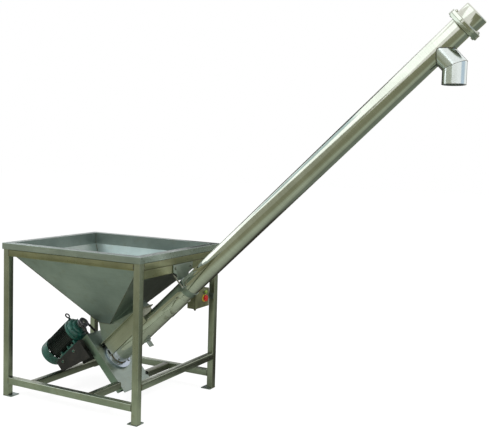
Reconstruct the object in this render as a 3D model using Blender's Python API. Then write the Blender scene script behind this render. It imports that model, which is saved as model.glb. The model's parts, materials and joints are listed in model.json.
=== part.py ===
# Inclined screw conveyor with a pyramid hopper, built from separate pieces.
# Units are metres, +Z is up.  The conveyor runs towards +X and rises with its incline.
import math

import bmesh
import bpy
from mathutils import Matrix, Vector

# ---------------------------------------------------------------- driving dimensions
GAP = 0.0003                # space between pieces that touch
FRAME_LENGTH = 0.960        # over the legs, along X
FRAME_WIDTH = 0.820         # over the legs, along Y
RIM_TOP = 0.900             # floor to the hopper's rim
TUBE = 0.040                # square tube of the frame
TUBE_WALL = 0.002
FOOT_SIZE = 0.065
FOOT_THICKNESS = 0.006
LOW_RAIL_BOTTOM = 0.073
SIDE_RAIL_BOTTOM = 0.182
MOTOR_BEAM_X = -0.280       # centre line of the beam under the motor
PLATE_BEAM_X = 0.140        # centre line of the beam that carries the end plate

RIM_HEIGHT = 0.036
RIM_OVERHANG = 0.006
RIM_SHEET = 0.003
HOPPER_SHEET = 0.003
HOPPER_FOLD_DROP = 0.071    # rim top to the fold where the walls start to slope
OUTLET_LEFT = -0.053        # hopper outlet along X
OUTLET_LENGTH = 0.083
OUTLET_WIDTH = 0.140
OUTLET_TOP = 0.427          # height of the outlet above the floor

INCLINE = math.radians(43.5)
AXIS_HEIGHT = 0.190         # conveyor axis above the floor at the frame's centre
PIPE_RADIUS = 0.05715       # outside radius of the conveyor tube
PIPE_WALL = 0.003
PIPE_START = 0.0473         # along the conveyor axis
PIPE_END = 2.7330
FLANGE_RADIUS = 0.0875
FLANGE_THICKNESS = 0.012
UPPER_FLANGE_THICKNESS = 0.015
CAP_RADIUS = 0.0635
CAP_LENGTH = 0.064
CAP_WALL = 0.008
CAP_EDGE = 0.004            # chamfer round the cap's closed end

INLET_START = 0.066         # inlet box along the conveyor axis
INLET_LENGTH = 0.334
INLET_WALL = 0.0025
INLET_RISE = 0.043          # box top above the tube
INLET_LIP = 0.010
LIP_THICKNESS = 0.003
CHUTE_LEAN = 0.034          # how far the chute's walls lean in at their high end

SPOUT_RADIUS = 0.0565
SPOUT_WALL = 0.002
SPOUT_STATION = 2.580       # where the spout leaves the conveyor axis
SPOUT_REACH = 0.112         # from the axis to the mitre
SPOUT_DROP = 0.087          # from the mitre down to the mouth

SHAFT_RADIUS = 0.017
JOURNAL_RADIUS = 0.015
FLIGHT_CLEARANCE = 0.0047   # flight edge to tube bore
FLIGHT_PITCH = 0.100
FLIGHT_THICKNESS = 0.003
FLIGHT_START = 0.080
FLIGHT_END = 2.600
JOURNAL_CLEARANCE = 0.0003
BEARING_LENGTH = 0.020

PLATE_THICKNESS = 0.005
PLATE_FRONT = -0.125        # edges of the end plate along Y
PLATE_BACK = 0.145
PLATE_TOP = 0.190           # across the conveyor axis
PLATE_BOTTOM = -0.225
GUARD_DEPTH = 0.0447
GUARD_SHEET = 0.002
GUARD_BOTTOM = -0.200

PULLEY_STATION = 0.018      # belt's middle plane along the conveyor axis
SCREW_PULLEY_RADIUS = 0.060
MOTOR_PULLEY_RADIUS = 0.030
PULLEY_WIDTH = 0.022
BELT_WIDTH = 0.013
BELT_DEPTH = 0.008

MOTOR_Y = -0.060            # motor axis from the conveyor axis
MOTOR_RISE = 0.280
MOTOR_RADIUS = 0.079        # over the fins
MOTOR_CORE_RADIUS = 0.070
MOTOR_FOOT_HEIGHT = 0.090   # motor axis above its feet
MOTOR_SHAFT_RADIUS = 0.012
MOTOR_FINS = 28
MOTOR_FRONT = -0.064        # finned frame along the conveyor axis
MOTOR_BACK = -0.248
FAN_COVER_END = -0.320
MOTOR_FOOT_START = -0.204
MOTOR_FOOT_LENGTH = 0.140
FAN_COVER_RADIUS = 0.081
BED_THICKNESS = 0.005
BED_START = -0.236
BED_FRONT_OVERHANG = 0.096
BED_BACK_OVERHANG = 0.103
BED_SHEET = 0.004

CLAMP_WIDTH = 0.035
CLAMP_BAND = 0.003
CLAMP_LUG = 0.030
HANGER_THICKNESS = 0.006
HANGER_BAR_HEIGHT = 0.045   # flat bar under the right top rail
HANGER_HALF_WIDTH = 0.100   # hanger where it laps the bar
HANGER_NECK_MARGIN = 0.00285 # from the conveyor tube's side to the edge of the hanger neck
HANGER_LOWER = 0.004        # how far the hanger reaches below the tube's top
KNOB_RADIUS = 0.013
KNOB_HEIGHT = 0.034
KNOB_RISE = 0.095           # knob's underside across the conveyor axis
KNOB_SHIFT = 0.0115         # knob from the band's middle, up the tube

DOOR_START = 0.520          # clean-out door along the conveyor axis
DOOR_LENGTH = 0.150
DOOR_SHEET = 0.002
DOOR_SEAM = -0.012          # seam height across the conveyor axis
HINGE_PIN_RADIUS = 0.0035
LUG_STATION = 0.290         # small lug under the tube

BOX_FRONT = 0.155           # switch box along Y
BOX_WIDTH = 0.154
BOX_BOTTOM = 0.531
BOX_HEIGHT = 0.110
BOX_DEPTH = 0.060
BOX_WALL = 0.0025
STOP_RADIUS = 0.0195
START_RADIUS = 0.011
BUTTON_Y = 0.254
STOP_HEIGHT = 0.585
START_HEIGHT = 0.623
BUTTON_STROKE = 0.004

ROUND = 32                  # facets of the conveyor's round pieces
SMALL_ROUND = 16

# ---------------------------------------------------------------- worked-out places
HALF_LENGTH = FRAME_LENGTH / 2
HALF_WIDTH = FRAME_WIDTH / 2
RAIL_TOP = RIM_TOP - RIM_HEIGHT - GAP
ALONG = Vector((math.cos(INCLINE), 0.0, math.sin(INCLINE)))
ACROSS = Vector((-math.sin(INCLINE), 0.0, math.cos(INCLINE)))
CAP_END = PIPE_END + GAP + UPPER_FLANGE_THICKNESS + CAP_LENGTH
PLATE_FACE = PIPE_START - GAP
PLATE_BACK_FACE = PLATE_FACE - PLATE_THICKNESS
GUARD_START = PLATE_BACK_FACE - GAP - GUARD_DEPTH
BED_TOP = MOTOR_RISE - MOTOR_FOOT_HEIGHT
PIPE_BORE = PIPE_RADIUS - PIPE_WALL
INLET_TOP = PIPE_RADIUS + INLET_RISE
INLET_HALF = PIPE_RADIUS + GAP + INLET_WALL


def line_point(station, side, rise):
    # World point from places along, beside and across the conveyor axis.
    return Vector((0.0, side, AXIS_HEIGHT)) + ALONG * station + ACROSS * rise


def line_place(x, z):
    # Station and rise of a world point seen from the side.
    offset = Vector((x, 0.0, z - AXIS_HEIGHT))
    return offset.dot(ALONG), offset.dot(ACROSS)


# The origin lies under the middle of the whole object, on the floor.
FAN_EDGE = line_point(FAN_COVER_END + 0.004, 0.0, MOTOR_RISE + FAN_COVER_RADIUS - 0.006)
LOW_X = min(FAN_EDGE.x, -HALF_LENGTH - RIM_OVERHANG)
HIGH_X = line_point(CAP_END, 0.0, CAP_EDGE - CAP_RADIUS).x
CENTRE_X = (LOW_X + HIGH_X) / 2


# ---------------------------------------------------------------- building helpers
def clear_scene():
    for old in list(bpy.data.objects):
        bpy.data.objects.remove(old, do_unlink=True)


def make_material(name, colour, roughness, metallic):
    material = bpy.data.materials.new(name)
    material.use_nodes = True
    shader = material.node_tree.nodes["Principled BSDF"]
    shader.inputs["Base Color"].default_value = (*colour, 1.0)
    shader.inputs["Roughness"].default_value = roughness
    shader.inputs["Metallic"].default_value = metallic
    return material


def make_empty(name, matrix):
    empty = bpy.data.objects.new(name, None)
    bpy.context.scene.collection.objects.link(empty)
    empty.matrix_world = matrix
    return empty


def finish(name, bm, material, parent, location=(0.0, 0.0, 0.0), smooth=False):
    # Closes a bmesh into a named object under its parent.
    bmesh.ops.remove_doubles(bm, verts=bm.verts, dist=1e-6)
    bmesh.ops.recalc_face_normals(bm, faces=bm.faces)
    mesh = bpy.data.meshes.new(name)
    bm.to_mesh(mesh)
    bm.free()
    if smooth:
        mesh.shade_smooth()
        mesh.set_sharp_from_angle(angle=math.radians(35))
    obj = bpy.data.objects.new(name, mesh)
    bpy.context.scene.collection.objects.link(obj)
    obj.parent = parent
    obj.location = location
    if material:
        mesh.materials.append(material)
    return obj


def combine(obj, tool, operation):
    # Cuts a tool out of an object, or joins it on; the tool stays hidden.
    modifier = obj.modifiers.new(operation.title() + " " + tool.name, "BOOLEAN")
    modifier.operation = operation
    modifier.solver = "EXACT"
    modifier.object = tool
    tool.hide_render = True
    tool.display_type = "WIRE"


def add_box(bm, low, high):
    centre = [(a + b) / 2 for a, b in zip(low, high)]
    size = [b - a for a, b in zip(low, high)]
    matrix = Matrix.Translation(centre) @ Matrix.Diagonal((*size, 1.0))
    bmesh.ops.create_cube(bm, size=1.0, matrix=matrix)


def box(name, low, high, material, parent):
    bm = bmesh.new()
    add_box(bm, low, high)
    return finish(name, bm, material, parent)


def sweep_loops(bm, loops):
    # Skins a closed ring of loops; every loop has as many points.
    rows = [[bm.verts.new(point) for point in loop] for loop in loops]
    count = len(rows[0])
    for index, row in enumerate(rows):
        following = rows[(index + 1) % len(rows)]
        for k in range(count):
            step = (k + 1) % count
            bm.faces.new((row[k], row[step], following[step], following[k]))


def rectangle(x_low, x_high, half_y, z):
    return [(x_low, -half_y, z), (x_high, -half_y, z), (x_high, half_y, z), (x_low, half_y, z)]


def turned(name, profile, steps, material, parent, centre=(0.0, 0.0, 0.0), axis=(1.0, 0.0, 0.0),
        closed=True):
    # Spins a profile of (place along the axis, radius) pairs round X, or round the given axis.
    bm = bmesh.new()
    across = (0.0, 0.0, 1.0) if abs(axis[2]) < 0.5 else (1.0, 0.0, 0.0)
    verts = [bm.verts.new(Vector(axis) * along + Vector(across) * radius) for along, radius in profile]
    pairs = list(zip(verts, verts[1:]))
    if closed:
        pairs.append((verts[-1], verts[0]))
    edges = [bm.edges.new(pair) for pair in pairs]
    bmesh.ops.spin(
        bm, geom=verts + edges, cent=(0, 0, 0), axis=axis, angle=math.tau, steps=steps, use_merge=True
    )
    bmesh.ops.remove_doubles(bm, verts=bm.verts, dist=1e-6)
    return finish(name, bm, material, parent, centre, smooth=True)


def cylinder(name, start, end, radius, steps, material, parent, centre=(0.0, 0.0, 0.0),
        axis=(1.0, 0.0, 0.0)):
    profile = [(start, 0.0), (start, radius), (end, radius), (end, 0.0)]
    return turned(name, profile, steps, material, parent, centre, axis, closed=False)


def extruded(name, outline, vector, material, parent, smooth=False):
    # Extrudes a flat closed outline by a vector.
    bm = bmesh.new()
    face = bm.faces.new([bm.verts.new(point) for point in outline])
    result = bmesh.ops.extrude_face_region(bm, geom=[face])
    moved = [item for item in result["geom"] if isinstance(item, bmesh.types.BMVert)]
    bmesh.ops.translate(bm, verts=moved, vec=vector)
    return finish(name, bm, material, parent, smooth=smooth)


def square_tube(name, axis, start, end, centre, material, parent):
    # A hollow square tube along X, Y or Z; centre gives the other two coordinates.
    others = [k for k in range(3) if k != axis]

    def loop(place, half):
        points = []
        for a, b in ((-half, -half), (half, -half), (half, half), (-half, half)):
            point = [0.0, 0.0, 0.0]
            point[axis] = place
            point[others[0]] = centre[0] + a
            point[others[1]] = centre[1] + b
            points.append(point)
        return points

    bm = bmesh.new()
    outer = TUBE / 2
    inner = outer - TUBE_WALL
    sweep_loops(bm, [loop(start, outer), loop(end, outer), loop(end, inner), loop(start, inner)])
    return finish(name, bm, material, parent)


def ring(name, start, end, inner, outer, steps, material, parent, centre=(0.0, 0.0, 0.0)):
    profile = [(start, inner), (start, outer), (end, outer), (end, inner)]
    return turned(name, profile, steps, material, parent, centre)


# ---------------------------------------------------------------- frame
def build_frame(steel, base):
    leg_x = HALF_LENGTH - TUBE / 2
    leg_y = HALF_WIDTH - TUBE / 2
    rail_z = RAIL_TOP - TUBE / 2
    low_z = LOW_RAIL_BOTTOM + TUBE / 2
    side_z = SIDE_RAIL_BOTTOM + TUBE / 2
    reach_x = HALF_LENGTH - TUBE - GAP
    reach_y = HALF_WIDTH - TUBE - GAP
    for name, x_side, y_side in (
        ("front_left", -1, -1), ("front_right", 1, -1), ("back_right", 1, 1), ("back_left", -1, 1)
    ):
        centre = (x_side * leg_x, y_side * leg_y)
        square_tube("leg_" + name, 2, FOOT_THICKNESS + GAP, RAIL_TOP, centre, steel, base)
        corner = (x_side * HALF_LENGTH, y_side * HALF_WIDTH)
        inner = (corner[0] - x_side * FOOT_SIZE, corner[1] - y_side * FOOT_SIZE)
        low = (min(corner[0], inner[0]), min(corner[1], inner[1]), 0.0)
        high = (max(corner[0], inner[0]), max(corner[1], inner[1]), FOOT_THICKNESS)
        box("foot_plate_" + name, low, high, steel, base)
    for name, side in (("front", -1), ("back", 1)):
        square_tube("top_rail_" + name, 0, -reach_x, reach_x, (side * leg_y, rail_z), steel, base)
        square_tube("low_rail_" + name, 0, -reach_x, reach_x, (side * leg_y, low_z), steel, base)
    for name, side in (("left", -1), ("right", 1)):
        square_tube("top_rail_" + name, 1, -reach_y, reach_y, (side * leg_x, rail_z), steel, base)
    square_tube("low_rail_right", 1, -reach_y, reach_y, (leg_x, side_z), steel, base)
    square_tube("motor_beam", 1, -reach_y, reach_y, (MOTOR_BEAM_X, low_z), steel, base)
    square_tube("plate_beam_front", 1, -reach_y, PLATE_FRONT - GAP, (PLATE_BEAM_X, low_z), steel, base)
    square_tube("plate_beam_back", 1, PLATE_BACK + GAP, reach_y, (PLATE_BEAM_X, low_z), steel, base)


# ---------------------------------------------------------------- hopper
def build_rim(steel, base):
    # Folded channel that caps the top rails, open underneath.
    outer_x = HALF_LENGTH + RIM_OVERHANG
    outer_y = HALF_WIDTH + RIM_OVERHANG
    width = TUBE + RIM_OVERHANG
    bottom = RIM_TOP - RIM_HEIGHT
    profile = [
        (0.0, bottom), (0.0, RIM_TOP), (width, RIM_TOP), (width, bottom), (width - RIM_SHEET, bottom),
        (width - RIM_SHEET, RIM_TOP - RIM_SHEET), (RIM_SHEET, RIM_TOP - RIM_SHEET), (RIM_SHEET, bottom),
    ]
    loops = [rectangle(-outer_x + inset, outer_x - inset, outer_y - inset, z) for inset, z in profile]
    bm = bmesh.new()
    sweep_loops(bm, loops)
    finish("hopper_rim", bm, steel, base)


def hopper_wall_height(x):
    # Underside of the hopper's right wall at a place along X.
    start = (OUTLET_LEFT + OUTLET_LENGTH, OUTLET_TOP)
    end = (HALF_LENGTH - TUBE - GAP, RIM_TOP - HOPPER_FOLD_DROP)
    share = (x - start[0]) / (end[0] - start[0])
    return start[1] + share * (end[1] - start[1])


def build_hopper(steel, base):
    top_x = HALF_LENGTH - TUBE - GAP
    top_y = HALF_WIDTH - TUBE - GAP
    fold = RIM_TOP - HOPPER_FOLD_DROP
    right = OUTLET_LEFT + OUTLET_LENGTH
    half = OUTLET_WIDTH / 2
    sheet = HOPPER_SHEET
    loops = [
        rectangle(-top_x, top_x, top_y, RIM_TOP),
        rectangle(-top_x, top_x, top_y, fold),
        rectangle(OUTLET_LEFT, right, half, OUTLET_TOP),
        rectangle(OUTLET_LEFT + sheet, right - sheet, half - sheet, OUTLET_TOP),
        rectangle(-top_x + sheet, top_x - sheet, top_y - sheet, fold),
        rectangle(-top_x + sheet, top_x - sheet, top_y - sheet, RIM_TOP),
    ]
    bm = bmesh.new()
    sweep_loops(bm, loops)
    finish("hopper", bm, steel, base)


def chute_loop(inset, lip, rise, follow_top):
    # One closed loop round the chute: along the front wall, then back along the rear one.
    start = INLET_START - lip + inset
    end = INLET_START + INLET_LENGTH + lip - inset
    half = OUTLET_WIDTH / 2 + lip - inset
    sides = [half, half, half]
    middle = (start + end) / 2
    if follow_top:
        bend = OUTLET_LEFT + OUTLET_LENGTH
        rough = line_point(end, 0.0, rise).x
        roof = line_place(rough, hopper_wall_height(rough))[1]
        far = line_point(end, 0.0, roof).x
        outline = [
            (OUTLET_LEFT + inset, OUTLET_TOP - GAP), (bend, OUTLET_TOP - 2 * GAP),
            (far, hopper_wall_height(far) - 2 * GAP),
        ]
        sides[2] -= CHUTE_LEAN
    else:
        outline = []
        for station in (start, middle, end):
            point = line_point(station, 0.0, rise)
            outline.append((point.x, point.z))
    front = [(x, -side, z) for (x, z), side in zip(outline, sides)]
    back = [(x, side, z) for (x, z), side in zip(reversed(outline), reversed(sides))]
    return front + back


def build_chute(steel, base):
    # Joins the hopper's outlet to the inlet box; the hopper's right wall is its roof.
    bottom = INLET_TOP + GAP
    top = bottom + LIP_THICKNESS
    wall = HOPPER_SHEET
    bm = bmesh.new()
    sweep_loops(bm, [
        chute_loop(0.0, INLET_LIP, bottom, False),
        chute_loop(0.0, INLET_LIP, top, False),
        chute_loop(0.0, 0.0, top, False),
        chute_loop(0.0, 0.0, top, True),
        chute_loop(wall, 0.0, top, True),
        chute_loop(wall, 0.0, bottom, False),
    ])
    finish("outlet_chute", bm, steel, base)


def build_inlet_box(steel, line):
    start = INLET_START
    end = INLET_START + INLET_LENGTH
    lip = INLET_LIP
    under_lip = INLET_TOP - LIP_THICKNESS
    bottom = -DOOR_SEAM
    outer = OUTLET_WIDTH / 2
    loops = [
        rectangle(start, end, INLET_HALF, bottom),
        rectangle(start, end, INLET_HALF, under_lip),
        rectangle(start - lip, end + lip, outer + lip, under_lip),
        rectangle(start - lip, end + lip, outer + lip, INLET_TOP),
        rectangle(start + INLET_WALL, end - INLET_WALL, INLET_HALF - INLET_WALL, INLET_TOP),
        rectangle(start + INLET_WALL, end - INLET_WALL, INLET_HALF - INLET_WALL, bottom),
    ]
    bm = bmesh.new()
    sweep_loops(bm, loops)
    inlet = finish("inlet_box", bm, steel, line)
    reach = INLET_LIP
    combine(inlet, cylinder("cut_inlet_box", start - reach, end + reach, PIPE_RADIUS + GAP, ROUND, None,
        line),
            "DIFFERENCE")


# ---------------------------------------------------------------- conveyor tube and what closes it
def build_tube(steel, line):
    tube = ring("conveyor_tube", PIPE_START, PIPE_END, PIPE_BORE, PIPE_RADIUS, ROUND, steel, line)
    start = INLET_START + INLET_WALL + 0.006
    end = INLET_START + INLET_LENGTH - INLET_WALL - 0.006
    half = PIPE_BORE - 0.006
    mouth = box("cut_tube_inlet", (start, -half, 0.0), (end, half, 2 * PIPE_RADIUS), None, line)
    combine(tube, mouth, "DIFFERENCE")
    hole = cylinder("cut_tube_spout", -2 * PIPE_RADIUS, 0.0, SPOUT_RADIUS - SPOUT_WALL - 0.004, ROUND,
        None, line,
                    (SPOUT_STATION, 0.0, 0.0), (0.0, 0.0, 1.0))
    combine(tube, hole, "DIFFERENCE")
    margin = 0.015
    hatch = box("cut_tube_hatch", (DOOR_START + margin, -half, -2 * PIPE_RADIUS),
                (DOOR_START + DOOR_LENGTH - margin, half, DOOR_SEAM - margin), None, line)
    combine(tube, hatch, "DIFFERENCE")


def build_flanges(steel, line):
    inner = PIPE_RADIUS + GAP
    end = PIPE_START + FLANGE_THICKNESS
    lower = ring("tube_flange_lower", PIPE_START, end, inner, FLANGE_RADIUS, ROUND, steel, line)
    start = PIPE_END - UPPER_FLANGE_THICKNESS
    upper = ring("tube_flange_upper", start, PIPE_END, inner, FLANGE_RADIUS, ROUND, steel, line)
    build_flange_bolts(lower, upper, line)
    start = PIPE_END + GAP
    shoulder = start + UPPER_FLANGE_THICKNESS
    bore = CAP_RADIUS - CAP_WALL
    profile = [
        (start, bore), (start, FLANGE_RADIUS), (shoulder, FLANGE_RADIUS), (shoulder, CAP_RADIUS),
        (CAP_END - CAP_EDGE, CAP_RADIUS), (CAP_END, CAP_RADIUS - CAP_EDGE), (CAP_END, 0.0),
        (CAP_END - CAP_WALL, 0.0), (CAP_END - CAP_WALL, bore),
    ]
    turned("end_cap", profile, ROUND, steel, line)


def build_flange_bolts(lower, upper, line):
    # Hexagon heads, each made in one piece with the flange it holds.
    radius = (PIPE_RADIUS + FLANGE_RADIUS) / 2 + 0.001
    sink = 0.002
    face = PIPE_START + FLANGE_THICKNESS
    for index in range(4):
        angle = math.radians(45 + 90 * index)
        centre = (0.0, radius * math.cos(angle), radius * math.sin(angle))
        head = cylinder(f"join_lower_bolt_{index}", face - sink, face + 0.006, 0.0075, 6, None, line, centre)
        combine(lower, head, "UNION")
    face = PIPE_END - UPPER_FLANGE_THICKNESS
    for index, angle in enumerate((math.radians(90), math.radians(-90))):
        centre = (0.0, radius * math.cos(angle), radius * math.sin(angle))
        head = cylinder(f"join_upper_bolt_{index}", face - 0.007, face + sink, 0.0075, 6, None, line, centre)
        combine(upper, head, "UNION")


def spout_loops(radius):
    # Circles at the conveyor axis, at the mitre and at the mouth.
    centre = line_point(SPOUT_STATION, 0.0, 0.0)
    bend = line_point(SPOUT_STATION, 0.0, -SPOUT_REACH)
    mitre = (-ACROSS + Vector((0.0, 0.0, -1.0))).normalized()
    starts = []
    bends = []
    ends = []
    for index in range(ROUND):
        angle = math.tau * index / ROUND
        side = Vector((0.0, radius * math.cos(angle), 0.0))
        offset = radius * math.sin(angle)
        starts.append(centre + side + ALONG * offset)
        foot = bend + side + Vector((offset, 0.0, 0.0))
        slide = (bend - foot).dot(mitre) / Vector((0.0, 0.0, -1.0)).dot(mitre)
        bends.append(foot + Vector((0.0, 0.0, -1.0)) * slide)
        ends.append(bend + side + Vector((offset, 0.0, -SPOUT_DROP)))
    return starts, bends, ends


def build_spout(steel, base, line):
    outer = spout_loops(SPOUT_RADIUS)
    inner = spout_loops(SPOUT_RADIUS - SPOUT_WALL)
    bm = bmesh.new()
    sweep_loops(bm, [outer[0], outer[1], outer[2], inner[2], inner[1], inner[0]])
    spout = finish("discharge_spout", bm, steel, base, smooth=True)
    reach = 2 * SPOUT_RADIUS
    cutter = cylinder("cut_spout", SPOUT_STATION - reach, SPOUT_STATION + reach, PIPE_RADIUS + GAP, ROUND,
        None, line)
    combine(spout, cutter, "DIFFERENCE")


# ---------------------------------------------------------------- screw
def build_screw(steel, bearing_steel, line, screw):
    start = PULLEY_STATION - PULLEY_WIDTH / 2
    shoulder = PIPE_START + BEARING_LENGTH + 2 * GAP
    bearing_end = CAP_END - CAP_WALL - 0.010
    upper_shoulder = bearing_end - BEARING_LENGTH - GAP
    profile = [
        (start, 0.0), (start, JOURNAL_RADIUS), (shoulder, JOURNAL_RADIUS), (shoulder, SHAFT_RADIUS),
        (upper_shoulder, SHAFT_RADIUS), (upper_shoulder, JOURNAL_RADIUS), (bearing_end, JOURNAL_RADIUS),
        (bearing_end, 0.0),
    ]
    turned("screw_shaft", profile, SMALL_ROUND, steel, screw, closed=False)
    hole = JOURNAL_RADIUS + JOURNAL_CLEARANCE
    lower = PIPE_START + GAP
    ring("lower_bearing", lower, lower + BEARING_LENGTH, hole, PIPE_BORE - GAP, ROUND, bearing_steel, line)
    upper = bearing_end - BEARING_LENGTH
    ring("upper_bearing", upper, bearing_end, hole, CAP_RADIUS - CAP_WALL - GAP, ROUND, bearing_steel, line)


def build_flight(steel, screw):
    # One helical blade round the shaft, right-handed.
    inner = SHAFT_RADIUS + GAP
    outer = PIPE_BORE - FLIGHT_CLEARANCE
    per_turn = SMALL_ROUND
    steps = round((FLIGHT_END - FLIGHT_START) / FLIGHT_PITCH * per_turn)
    bm = bmesh.new()
    rows = []
    for index in range(steps + 1):
        angle = math.tau * index / per_turn
        along = FLIGHT_START + FLIGHT_PITCH * index / per_turn
        direction = Vector((0.0, math.cos(angle), math.sin(angle)))
        row = []
        for radius, shift in (
            (inner, 0.0), (outer, 0.0), (outer, FLIGHT_THICKNESS), (inner, FLIGHT_THICKNESS)
        ):
            row.append(bm.verts.new(direction * radius + Vector((along + shift, 0.0, 0.0))))
        rows.append(row)
    for row, following in zip(rows, rows[1:]):
        for k in range(4):
            step = (k + 1) % 4
            bm.faces.new((row[k], row[step], following[step], following[k]))
    bm.faces.new(rows[0])
    bm.faces.new(rows[-1])
    finish("screw_flight", bm, steel, screw, smooth=True)


# ---------------------------------------------------------------- drive
def pulley(name, radius, bore, steel, parent):
    # A single-groove pulley; the groove is a little wider and deeper than the belt.
    half = PULLEY_WIDTH / 2
    rim = radius + 0.002
    floor = radius - BELT_DEPTH - 0.002
    groove = BELT_WIDTH / 2 + 0.001
    profile = [
        (-half, bore), (-half, rim), (-groove, rim), (-groove + 0.0015, floor), (groove - 0.0015, floor),
        (groove, rim), (half, rim), (half, bore),
    ]
    return turned(name, [(PULLEY_STATION + along, r) for along, r in profile], 24, steel, parent)


def belt_loop(extra):
    # The belt's path round both pulleys, at a distance outside their running radius.
    span = Vector((MOTOR_Y, MOTOR_RISE))
    distance = span.length
    tilt = math.atan2(span.y, span.x)
    lean = math.acos((SCREW_PULLEY_RADIUS - MOTOR_PULLEY_RADIUS) / distance)
    points = []
    for centre, radius, start, sweep in (
        (Vector((0.0, 0.0)), SCREW_PULLEY_RADIUS, lean, math.tau - 2 * lean),
        (span, MOTOR_PULLEY_RADIUS, -lean, 2 * lean),
    ):
        steps = 14
        for index in range(steps + 1):
            angle = tilt + start + sweep * index / steps
            reach = radius + extra
            points.append(centre + Vector((math.cos(angle), math.sin(angle))) * reach)
    return points


def build_drive(steel, rubber, line, screw, rotor):
    bore = JOURNAL_RADIUS + GAP
    pulley("screw_pulley", SCREW_PULLEY_RADIUS, bore, steel, screw)
    pulley("motor_pulley", MOTOR_PULLEY_RADIUS, MOTOR_SHAFT_RADIUS + GAP, steel, rotor)
    loops = []
    for extra, half in ((0.0, BELT_WIDTH / 2), (-BELT_DEPTH, BELT_WIDTH / 2 - 0.0015)):
        for side in (-1, 1) if extra == 0.0 else (1, -1):
            along = PULLEY_STATION + side * half
            loops.append([(along, point.x, point.y) for point in belt_loop(extra)])
    bm = bmesh.new()
    sweep_loops(bm, loops)
    finish("drive_belt", bm, rubber, line)


def build_plates(steel, line):
    plate = box("end_plate", (PLATE_BACK_FACE, PLATE_FRONT, PLATE_BOTTOM),
        (PLATE_FACE, PLATE_BACK, PLATE_TOP),
                steel, line)
    hole = cylinder("cut_end_plate", PLATE_BACK_FACE - 0.01, PLATE_FACE + 0.01, JOURNAL_RADIUS + 0.002,
                    SMALL_ROUND, None, line)
    combine(plate, hole, "DIFFERENCE")
    start = GUARD_START
    end = PLATE_BACK_FACE - GAP
    sheet = GUARD_SHEET
    outline = [
        (start, PLATE_FRONT), (end, PLATE_FRONT), (end, PLATE_FRONT + sheet),
        (start + sheet, PLATE_FRONT + sheet),
        (start + sheet, PLATE_BACK - sheet), (end, PLATE_BACK - sheet), (end, PLATE_BACK),
        (start, PLATE_BACK),
    ]
    extruded("belt_guard", [(x, y, GUARD_BOTTOM) for x, y in outline], (0.0, 0.0, PLATE_TOP - GUARD_BOTTOM),
             steel, line)


def build_motor_bed(steel, base, line):
    # A folded channel that carries the motor, from the beam to the belt guard.
    front = MOTOR_Y - BED_FRONT_OVERHANG
    back = MOTOR_Y + BED_BACK_OVERHANG
    top = BED_TOP
    low = 0.0
    sheet = BED_SHEET
    outline = [
        (front, low), (front, top), (back, top), (back, low), (back - sheet, low),
        (back - sheet, top - BED_THICKNESS), (front + sheet, top - BED_THICKNESS), (front + sheet, low),
    ]
    length = GUARD_START - GAP - BED_START
    bed = extruded("motor_bed", [(BED_START, y, z) for y, z in outline], (length, 0.0, 0.0), steel, line)
    beam_top = LOW_RAIL_BOTTOM + TUBE + GAP
    guard_end = line_point(GUARD_START, 0.0, BED_TOP / 3)
    reach = 0.6
    cut = [
        (MOTOR_BEAM_X - reach, beam_top), (MOTOR_BEAM_X + TUBE / 2, beam_top), (guard_end.x, guard_end.z),
        (guard_end.x + reach, guard_end.z), (guard_end.x + reach, -reach), (MOTOR_BEAM_X - reach, -reach),
    ]
    cutter = extruded("cut_motor_bed", [(x, -reach, z) for x, z in cut], (0.0, 2 * reach, 0.0), None, base)
    combine(bed, cutter, "DIFFERENCE")


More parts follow.
